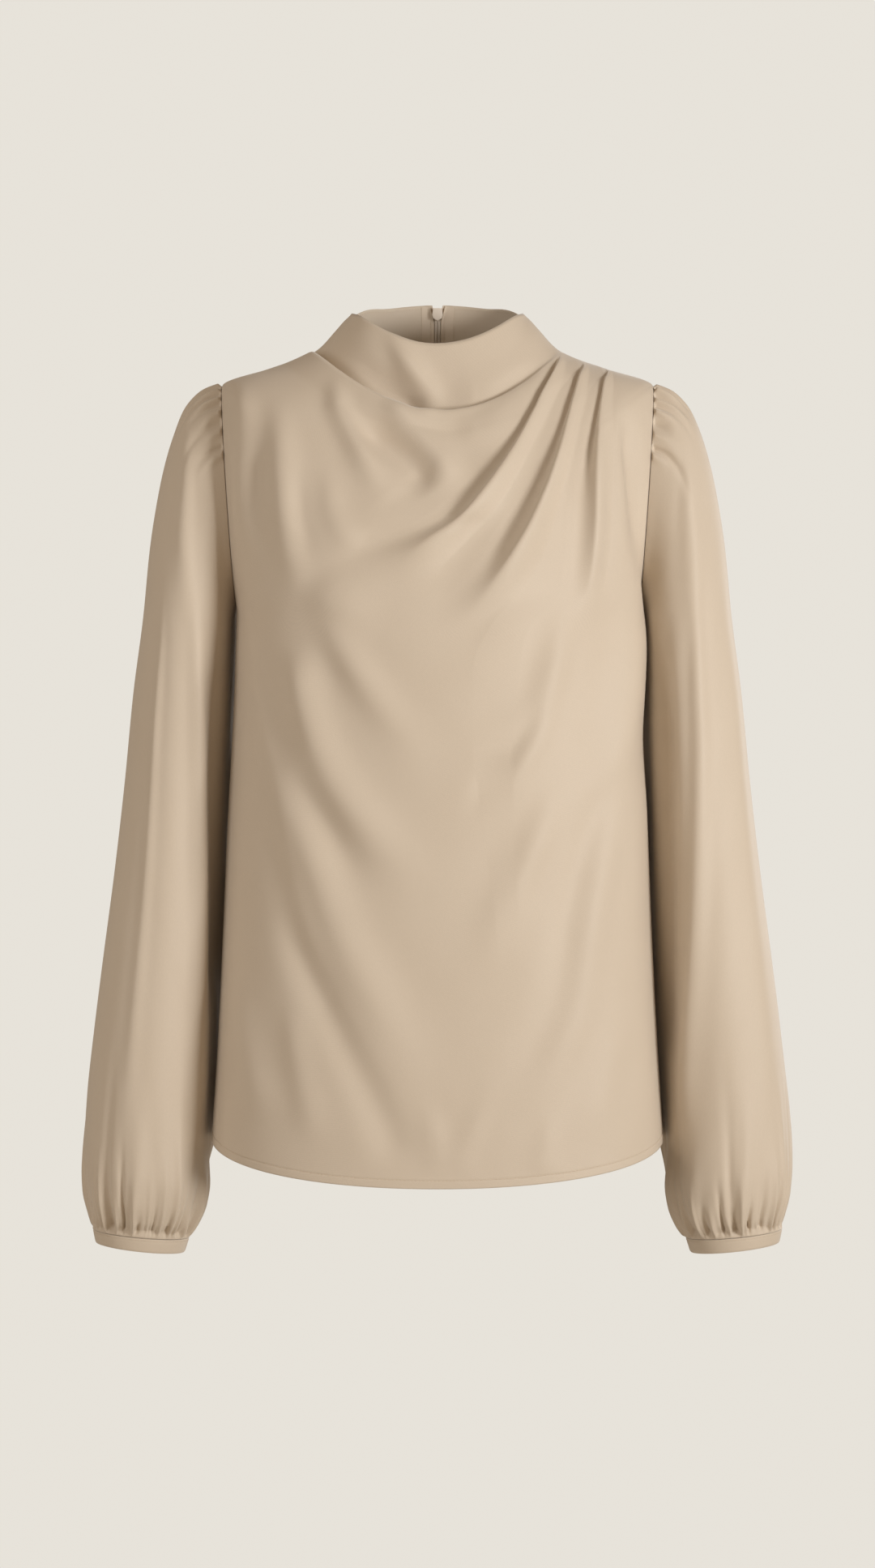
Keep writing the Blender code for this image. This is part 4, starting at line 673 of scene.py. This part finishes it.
def back_across(x, down):
    """The share across the back, at each row, of a point at x from its centre."""
    quarter = section_turn("back", down)
    return np.arcsin(x * np.sin(quarter) / body_column("side_x", down)) / quarter


def on_back(path):
    """A path of shares across and down the back, in metres."""
    return path * np.stack([body_column("side_x", path[:, 1]), np.ones(len(path))], axis=-1)


def back_grid(side):
    """The outer face of a half of the back, from its centre to its side edge; the right one is mirrored."""
    rows = run(BACK_ROWS)
    tape_in, tape_out = (back_across(x, rows) for x in (TAPE_IN, TAPE_OUT))
    near = [tape_in * share for share in even_shares(SEAM_COLUMNS)]
    taped = [tape_in + (tape_out - tape_in) * share for share in even_shares(TAPED_COLUMNS)]
    rest = [tape_out + (1 - tape_out) * share for share in np.linspace(0, 1, REST_COLUMNS)]
    across = np.array(near + taped + rest).T
    down = rows[:, None]
    point, normal, _ = panel_frame("back", across, down)
    x = across * body_column("side_x", down)
    spots = np.stack(np.broadcast_arrays(x, down), axis=-1)
    raised = with_folds(np.zeros(across.shape), spots, BACK_FOLDS[side], on_back)
    raised = raised * ease((1 - across) / EDGE_EASE) * ease((across - tape_out[:, None]) / EDGE_EASE)
    raised = raised + hem_height(down) - SEAM_ROLL * np.exp(-((x / SEAM_ROLL_WIDTH) ** 2))
    grid = point + normal * raised[..., None]
    grid[..., 2] += collar_moves(grid, down, "back")
    opening = notch(down) - SEAM_GAP / 2 + SEAM_SHUT
    grid[..., 0] += opening * np.clip(1 - grid[..., 0] / TAPE_OUT, 0, 1)
    return grid


def gather_height(turn, away, start, gathers):
    """The height of a row of gathers: each narrow at the seam and wider away from it, until it has gone."""
    total = np.zeros(turn.shape)
    for place, rise, width, length in gathers:
        gap = (turn - place + np.pi) % (2 * np.pi) - np.pi
        reach = width * (GATHER_WIDTH + GATHER_WIDENS * np.clip(away / length, 0, 1))
        fade = ease(away / start) * ease(1 - away / length)
        total += rise * fade * np.exp(-((gap * SLEEVE_ROUND) ** 2) / (2 * reach**2))
    return total


def uneven_gathers(seed, count, start, end, rises, widths, lengths):
    """A row of gathers between two turns, uneven in place, height, width and length."""
    chance = random.Random(seed)
    rows = []
    for number in range(count):
        shift = chance.uniform(-GATHER_SHIFT, GATHER_SHIFT)
        place = start + (end - start) * (number + 0.5 + shift) / count
        rise = (1 if number % 2 else -1) * chance.uniform(*rises)
        rows.append((place, rise, chance.uniform(*widths), chance.uniform(*lengths)))
    return rows


def sleeve_grid(side):
    """The outer face of a sleeve on the wearer's left; the right one is mirrored. Gathered at both ends."""
    along, turn = turns(SLEEVE_ROWS, SLEEVE_COLUMNS_SHOWN)
    spots = np.stack([turn * SLEEVE_ROUND, along * SLEEVE_LENGTH], axis=-1)
    to_metres = math.radians(1) * SLEEVE_ROUND, SLEEVE_LENGTH
    raised = with_folds(np.zeros(along.shape), spots, SLEEVE_SIDES[side], lambda path: path * to_metres)
    below_head, above_cuff = along * SLEEVE_LENGTH, (1 - along) * SLEEVE_LENGTH
    seed = GATHER_SEEDS[side]
    head, *cuff = (
        uneven_gathers(seed + number, *row) for number, row in enumerate(HEAD_GATHERS + CUFF_GATHERS)
    )
    raised = raised + gather_height(turn, below_head, HEAD_START, head)
    raised = raised + gather_height(turn, above_cuff, CUFF_START, sum(cuff, []))
    raised = raised - PINCH * ease(above_cuff / CUFF_START) * ease(1 - above_cuff / PINCH_REACH)
    return ring_points(SLEEVE_RINGS, along, turn) + sleeve_normals(along, turn) * raised[..., None]


def cuff_grid():
    """The cuff's outer face: a band that rounds in at its edges."""
    along, turn = turns(CUFF_ROWS, CUFF_COLUMNS_SHOWN)
    grid = ring_points(CUFF_RINGS, along, turn)
    edge = np.minimum(along, 1 - along) * CUFF_HEIGHT
    dip = CUFF_DIP * np.exp(-(((along * CUFF_HEIGHT - CUFF_STITCH) / CUFF_STITCH_WIDTH) ** 2))
    inwards = CUFF_ROUND * (1 - ease(edge / (2 * CUFF_ROUND))) + dip
    grid = grid - unit(outward(grid, around=True)) * inwards[..., None]
    grid[..., 2] -= CUFF_GAP
    return grid


def outward(grid, around):
    """The level way out of a ring from its middle, or of a panel from the blouse's."""
    middle = grid.mean(axis=1, keepdims=True) if around else np.zeros(3)
    return (grid - middle) * LEVEL


def grid_faces(rows, columns, around):
    """The four-cornered faces of a grid of points. around: it closes on itself."""
    here = np.arange(rows - 1)[:, None] * columns + np.arange(columns if around else columns - 1)[None, :]
    after = np.arange(rows - 1)[:, None] * columns + (np.arange(here.shape[1])[None, :] + 1) % columns
    return np.stack([here, after, after + columns, here + columns], axis=-1).reshape(-1, 4)


def mesh_of(name, points, faces):
    mesh = bpy.data.meshes.new(name)
    mesh.from_pydata(points, [], faces)
    mesh.shade_smooth()
    return mesh


def add_object(name, data):
    thing = bpy.data.objects.new(name, data)
    bpy.context.scene.collection.objects.link(thing)
    return thing


def placed(name, mesh, material, body="garment"):
    """A mesh as a piece in the scene, on its body and in its slot."""
    mesh.materials.append(material)
    piece = add_object(name, mesh)
    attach(piece, body)
    return piece


def cloth_sheet(name, grid, material, thickness=CLOTH, around=False, mirrored=False):
    """A thin sheet of cloth on a grid of points of its outer face, with a UV map in metres."""
    faces = grid_faces(*grid.shape[:2], around)
    normals = np.cross((np.roll(grid, -1, axis=1) - grid)[:-1], np.diff(grid, axis=0))
    if (normals * outward(grid, around)[:-1]).sum(axis=-1)[:, :-1].sum() < 0:
        faces = faces[:, ::-1]
    points = grid.reshape(-1, 3)
    if mirrored:
        points = points * MIRROR
        faces = faces[:, ::-1]
    mesh = mesh_of(name, points.tolist(), faces.tolist())
    u = np.cumsum(np.linalg.norm(np.diff(grid, axis=1, prepend=grid[:, :1]), axis=-1), axis=1)
    v = np.cumsum(np.linalg.norm(np.diff(grid, axis=0, prepend=grid[:1]), axis=-1), axis=0)
    uv = np.stack([u, v], axis=-1).reshape(-1, 2)[faces.ravel()]
    mesh.uv_layers.new(name="UVMap").data.foreach_set("uv", uv.astype(np.float32).ravel())
    piece = placed(name, mesh, material)
    solid = piece.modifiers.new("Cloth thickness", "SOLIDIFY")
    solid.thickness, solid.offset = thickness, -1
    return piece


def shader_of(name, colour):
    material = bpy.data.materials.new(name)
    material.use_nodes = True
    shader = material.node_tree.nodes["Principled BSDF"]
    shader.inputs["Base Color"].default_value = (*colour, 1)
    shader.inputs["Roughness"].default_value = ROUGHNESS[name]
    return material, shader


def add_node(material, kind, **values):
    node = material.node_tree.nodes.new(kind)
    for key, value in values.items():
        if key in node.inputs:
            node.inputs[key].default_value = value
        else:
            setattr(node, key.lower(), value)
    return node


def link(material, start, end):
    material.node_tree.links.new(start, end)


def mix_of(material, kind, factor, first, second):
    """A mix node. Each of its inputs is a value, or an output to link."""
    mix = add_node(material, "ShaderNodeMix")
    mix.data_type = kind
    for number, value in zip((0, 2, 3) if kind == "FLOAT" else (0, 6, 7), (factor, first, second)):
        if isinstance(value, bpy.types.NodeSocket):
            link(material, value, mix.inputs[number])
        else:
            mix.inputs[number].default_value = value
    return mix


def add_bump(material, shader, height, size):
    bump = add_node(material, "ShaderNodeBump", Strength=size[0], Distance=size[1])
    link(material, height, bump.inputs["Height"])
    link(material, bump.outputs["Normal"], shader.inputs["Normal"])


def crepe(name, colour, deep):
    """Satin-back crepe: a fine twill and a pebbled grain as bump, a soft uneven tone, and a low sheen."""
    material, shader = shader_of(name, colour)
    shader.inputs["Specular IOR Level"].default_value = 0.30
    shader.inputs["Sheen Weight"].default_value = 0.40
    shader.inputs["Sheen Roughness"].default_value = 0.45
    place = add_node(material, "ShaderNodeTexCoord").outputs["UV"]
    turned = add_node(material, "ShaderNodeMapping", Rotation=(0, 0, math.radians(TWILL_TURN)))
    link(material, place, turned.inputs["Vector"])
    twill = add_node(material, "ShaderNodeTexWave", Scale=260.0, Distortion=7.0, Detail=3.0)
    twill.inputs["Detail Scale"].default_value = 4.0
    link(material, turned.outputs["Vector"], twill.inputs["Vector"])
    grain = add_node(material, "ShaderNodeTexNoise", Scale=1100.0, Detail=3.0)
    patch = add_node(material, "ShaderNodeTexNoise", Scale=14.0, Detail=2.0)
    for texture in (grain, patch):
        link(material, place, texture.inputs["Vector"])
    weave = mix_of(material, "FLOAT", GRAIN_SHARE, twill.outputs["Fac"], grain.outputs["Fac"]).outputs[0]
    add_bump(material, shader, weave, CREPE_BUMP)
    tone = mix_of(material, "RGBA", patch.outputs["Fac"], (*deep, 1), (*colour, 1))
    speck = mix_of(material, "RGBA", WEAVE_SHADE, tone.outputs[2], weave)
    speck.blend_type = "MULTIPLY"
    link(material, speck.outputs[2], shader.inputs["Base Color"])
    return material


def grained(name, colour, bump, texture, **values):
    """A plain material with one fine texture as bump."""
    material, shader = shader_of(name, colour)
    place = add_node(material, "ShaderNodeTexCoord")
    grain = add_node(material, texture, **values)
    link(material, place.outputs["Object"], grain.inputs["Vector"])
    add_bump(material, shader, grain.outputs["Fac"], bump)
    return material


def enamel(name, colour):
    return grained(name, colour, FINE_BUMP, "ShaderNodeTexNoise", Scale=900.0, Detail=2.0)


def joined(shapes):
    """The points and faces of several shapes as one."""
    points, faces = [], []
    for more, sides in shapes:
        faces += [tuple(number + len(points) for number in side) for side in sides]
        points += [tuple(point) for point in more]
    return points, faces


def smooth_piece(name, shapes, material):
    """Several shapes as one piece, shaded smooth."""
    return placed(name, mesh_of(name, *joined(shapes)), material)


def tube(line, radius, sides, across):
    """Points and faces of a round thread along a line. across is any way that is never along it."""
    ahead = unit(np.gradient(line, axis=0))
    side = unit(np.cross(ahead, across))
    over = np.cross(ahead, side)
    angle = 2 * np.pi * even_shares(sides)[None, :, None]
    ring = line[:, None] + radius * (side[:, None] * np.cos(angle) + over[:, None] * np.sin(angle))
    faces = [tuple(face) for face in grid_faces(len(line), sides, around=True)]
    last = (len(line) - 1) * sides
    faces += [tuple(range(sides - 1, -1, -1)), tuple(range(last, last + sides))]
    return ring.reshape(-1, 3), faces


def stitch_row(path, normal, length, gap, radius):
    """A row of stitches along a path of points: each a short thread that dips at its ends."""
    gone = np.concatenate([[0], np.cumsum(np.linalg.norm(np.diff(path, axis=0), axis=1))])
    count = max(1, int(gone[-1] / (length + gap)))
    stitches = []
    for middle in (np.arange(count) + 0.5) * gone[-1] / count:
        places = middle + length * STITCH_PLACES
        centre, up = (
            np.stack([np.interp(places, gone, values[:, axis]) for axis in range(3)], axis=-1)
            for values in (path, normal)
        )
        centre = centre + unit(up) * (radius * STITCH_LIFTS)[:, None]
        stitches.append(tube(centre, radius, STITCH_SIDES, up))
    return stitches


def add_stitches(name, rows, material):
    """One piece of stitches from several rows, each a path and its normals."""
    sizes = np.array(STITCHES[name]) * MM
    smooth_piece(name, [stitch for row in rows for stitch in stitch_row(*row, *sizes)], material)


def sheet_normals(grid, around=False):
    across = np.roll(grid, -1, axis=1) - np.roll(grid, 1, axis=1) if around else np.gradient(grid, axis=1)
    normal = unit(np.cross(np.gradient(grid, axis=0), across))
    flip = np.where((normal * outward(grid, around)).sum(axis=-1) < 0, -1, 1)
    return normal * flip[..., None]


def line_up(grid, normal, from_edge, last=True):
    """A line across a sheet at a distance from its lower (last) or upper edge, and its normals."""
    if last:
        grid, normal = grid[::-1], normal[::-1]
    steps = np.linalg.norm(np.diff(grid, axis=0), axis=-1)
    fall = np.concatenate([np.zeros((1, grid.shape[1])), np.cumsum(steps, axis=0)])
    line, facing = (
        np.array([
            [np.interp(from_edge, fall[:, column], values[:, column, axis]) for axis in range(3)]
            for column in range(grid.shape[1])
        ])
        for values in (grid, normal)
    )
    return line, unit(facing)


def mirrored_row(row):
    """A path and its normals on the other side."""
    return tuple(values * MIRROR for values in row)


def add_cloth(cloth):
    """The front, and each side's back, sleeve and cuff: the pieces, and the grids that carry stitches."""
    front, cuff = front_grid(), cuff_grid()
    backs = {side: back_grid(side) for side in SIDES}
    pieces = {"front": cloth_sheet("front_cloth", front, cloth)}
    for side in SIDES:
        right = side == "right"
        pieces[f"back_{side}"] = cloth_sheet(f"back_{side}_cloth", backs[side], cloth, mirrored=right)
        pieces[f"sleeve_{side}"] = cloth_sheet(
            f"sleeve_{side}_cloth", sleeve_grid(side), cloth, around=True, mirrored=right
        )
        pieces[f"cuff_{side}"] = cloth_sheet(
            f"cuff_{side}_cloth", cuff, cloth, CUFF_CLOTH, around=True, mirrored=right
        )
    for name, piece in pieces.items():
        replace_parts(piece, name)
    return pieces, front, backs, cuff


def seam_line(down, inwards):
    """Points inside the centre back's seam, a distance inwards of its outer face, and their normals."""
    point, normal, _ = panel_frame("back", np.zeros(len(down)), down)
    return point * np.array([0, 1, 1]) - normal * inwards, normal


def add_tapes(material):
    """The tapes, sewn flat inside the back and turned up to the coil."""
    down = run(TAPE_ROWS)[:, None]
    point, normal, _ = panel_frame("back", back_across(TAPE_COLUMNS, down), down)
    lift = TAPE_SEAT + TAPE_TURN * ease((TAPE_TURN_END - TAPE_COLUMNS) / (TAPE_TURN_END - TAPE_IN))
    grid = point - normal * lift[None, :, None]
    grid[..., 0] += notch(down) * np.clip(1 - grid[..., 0] / TAPE_OUT, 0, 1)
    for side in SIDES:
        name = f"tape_{side}"
        piece = cloth_sheet(name, grid, material, TAPE_WALL, mirrored=side == "right")
        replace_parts(piece, "zip_" + name)


def add_coil(material):
    """The zip's two coils, each a wound thread, with their turns meshed at the centre."""
    count = (COIL_FOOT - COIL_TOP) / COIL_PITCH
    phase = np.linspace(0, 2 * np.pi * count, int(count * COIL_STEPS))
    centre, normal = seam_line(COIL_TOP + (COIL_FOOT - COIL_TOP) * phase / phase[-1], COIL_IN)
    threads = []
    for way, wound in ((-1, phase), (1, phase + np.pi)):
        out = way * (COIL_SIDE - COIL_HALF * np.cos(wound))
        line = centre + np.array([1, 0, 0]) * out[:, None] + normal * (COIL_DEPTH * np.sin(wound))[:, None]
        threads.append(tube(line, COIL_THREAD, COIL_SIDES, np.array([0, 0, 1.0]) + normal))
    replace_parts(smooth_piece("zip_coil", threads, material), "zip_chain")


def rounded_copy(name, material, body="garment"):
    """A copy of a CAD piece with its edges rounded, which stands for it."""
    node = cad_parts[name]
    shape = bmesh.new()
    shape.from_mesh(node.data)
    shape.transform(node.matrix_world)
    bmesh.ops.remove_doubles(shape, verts=shape.verts, dist=WELD)
    bmesh.ops.dissolve_limit(shape, angle_limit=FLAT_ANGLE, verts=shape.verts, edges=shape.edges)
    mesh = bpy.data.meshes.new(name + "_rounded")
    shape.to_mesh(mesh)
    shape.free()
    mesh.materials.clear()
    mesh.shade_smooth()
    piece = placed(name + "_rounded", mesh, material, body)
    bevel = piece.modifiers.new("Round edges", "BEVEL")
    bevel.width, bevel.segments, bevel.limit_method = METAL_EDGES[name], EDGE_STEPS, "ANGLE"
    bevel.angle_limit = EDGE_ANGLE
    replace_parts(piece, name)


def add_zip(thread):
    """The zip's tapes, coil, slider and pull, and the tapes' stitches."""
    tape = grained("zip_tape", TAPE, TAPE_BUMP, "ShaderNodeTexWave", Scale=420.0, Distortion=0.6)
    coil = enamel("zip_coil", COIL)
    metal = enamel("zip_metal", METAL)
    add_tapes(tape)
    add_coil(coil)
    rounded_copy("zip_slider", metal)
    rounded_copy("zip_pull", metal, body="pull")
    down = np.linspace(NOTCH_DEPTH, ZIP_LENGTH - TAPE_STITCH_END, TAPE_STITCH_STEPS)
    centre, normal = seam_line(down, TAPE_FACE)
    row = centre + np.array([TAPE_STITCH, 0, 0]), -normal
    add_stitches("zip_stitches", [mirrored_row(row), row], thread)


def inside_of(grid, normal):
    """A cloth sheet's inner face and its normals."""
    return grid - normal * CLOTH, -normal


def add_seams(front, backs, cuff, thread):
    """The rows of stitches along the hem, inside the collar and on the cuffs."""
    hem = [line_up(front, sheet_normals(front), HEM_DEPTH)]
    collar = []
    for side in SIDES:
        normal = sheet_normals(backs[side])
        foot = line_up(backs[side], normal, HEM_DEPTH)
        top = line_up(*inside_of(backs[side], normal), COLLAR_STITCH, last=False)
        hem.append(mirrored_row(foot) if side == "right" else foot)
        collar.append(mirrored_row(top) if side == "right" else top)
    add_stitches("hem_stitches", hem, thread)
    add_stitches("collar_stitches", collar, thread)
    ring = line_up(cuff, sheet_normals(cuff, around=True), CUFF_STITCH, last=False)
    row = [np.concatenate([values, values[:1]]) for values in ring]
    add_stitches("cuff_stitches", [row, mirrored_row(row)], thread)


def show_plain(owner, kind, lit, output):
    """The camera sees a plain pale colour, and the rest of the scene is lit by another shader."""
    plain = add_node(owner, kind, Color=(*PALE, 1), Strength=1.0)
    ray = add_node(owner, "ShaderNodeLightPath")
    mix = add_node(owner, "ShaderNodeMixShader")
    for number, value in enumerate((ray.outputs["Is Camera Ray"], lit.outputs[0], plain.outputs[0])):
        link(owner, value, mix.inputs[number])
    link(owner, mix.outputs[0], owner.node_tree.nodes[output].inputs["Surface"])


def add_backdrop():
    """A pale floor that sweeps up into a wall."""
    material, shader = shader_of("studio_paper", PALE)
    show_plain(material, "ShaderNodeEmission", shader, "Material Output")
    profile = [(FLOOR_FRONT, FLOOR_Z), (WALL_Y - SWEEP, FLOOR_Z)]
    for step in range(1, SWEEP_STEPS + 1):
        angle = math.pi / 2 * step / SWEEP_STEPS
        profile.append((WALL_Y - SWEEP + SWEEP * math.sin(angle), FLOOR_Z + SWEEP * (1 - math.cos(angle))))
    profile.append((WALL_Y, WALL_TOP))
    points = [(x, y, z) for y, z in profile for x in (-WALL_HALF, WALL_HALF)]
    faces = [(2 * k, 2 * k + 1, 2 * k + 3, 2 * k + 2) for k in range(len(profile) - 1)]
    backdrop = add_object("backdrop", mesh_of("backdrop", points, faces))
    backdrop.data.materials.append(material)


def add_light():
    """A warm sky and the soft lamps."""
    world = bpy.data.worlds.new("studio")
    bpy.context.scene.world = world
    world.use_nodes = True
    sky = world.node_tree.nodes["Background"]
    sky.inputs["Color"].default_value = (*SKY, 1)
    sky.inputs["Strength"].default_value = SKY_STRENGTH
    show_plain(world, "ShaderNodeBackground", sky, "World Output")
    for name, place, target, size, power, angle in LAMPS:
        lamp = bpy.data.lights.new(name, "AREA")
        lamp.energy, lamp.size, lamp.spread = power, size, math.radians(angle)
        thing = add_object(name, lamp)
        thing.location = place
        thing.rotation_euler = (Vector(target) - thing.location).to_track_quat("-Z", "Y").to_euler()
        thing.visible_camera = False


def add_camera():
    lens = bpy.data.cameras.new("camera")
    camera = add_object("camera", lens)
    camera.location = (0, -VIEW, EYE_Z)
    camera.rotation_euler = (math.pi / 2, 0, 0)
    lens.sensor_width = 36
    lens.lens = lens.sensor_width * VIEW / FRAME_HEIGHT
    bpy.context.scene.camera = camera
    bpy.context.scene.view_settings.view_transform = "Standard"


def main():
    cloth = crepe("champagne_crepe", CREPE, CREPE_DEEP)
    thread = enamel("thread", THREAD)
    pieces, front, backs, cuff = add_cloth(cloth)
    add_zip(thread)
    add_seams(front, backs, cuff, thread)
    add_backdrop()
    add_light()
    add_camera()


main()
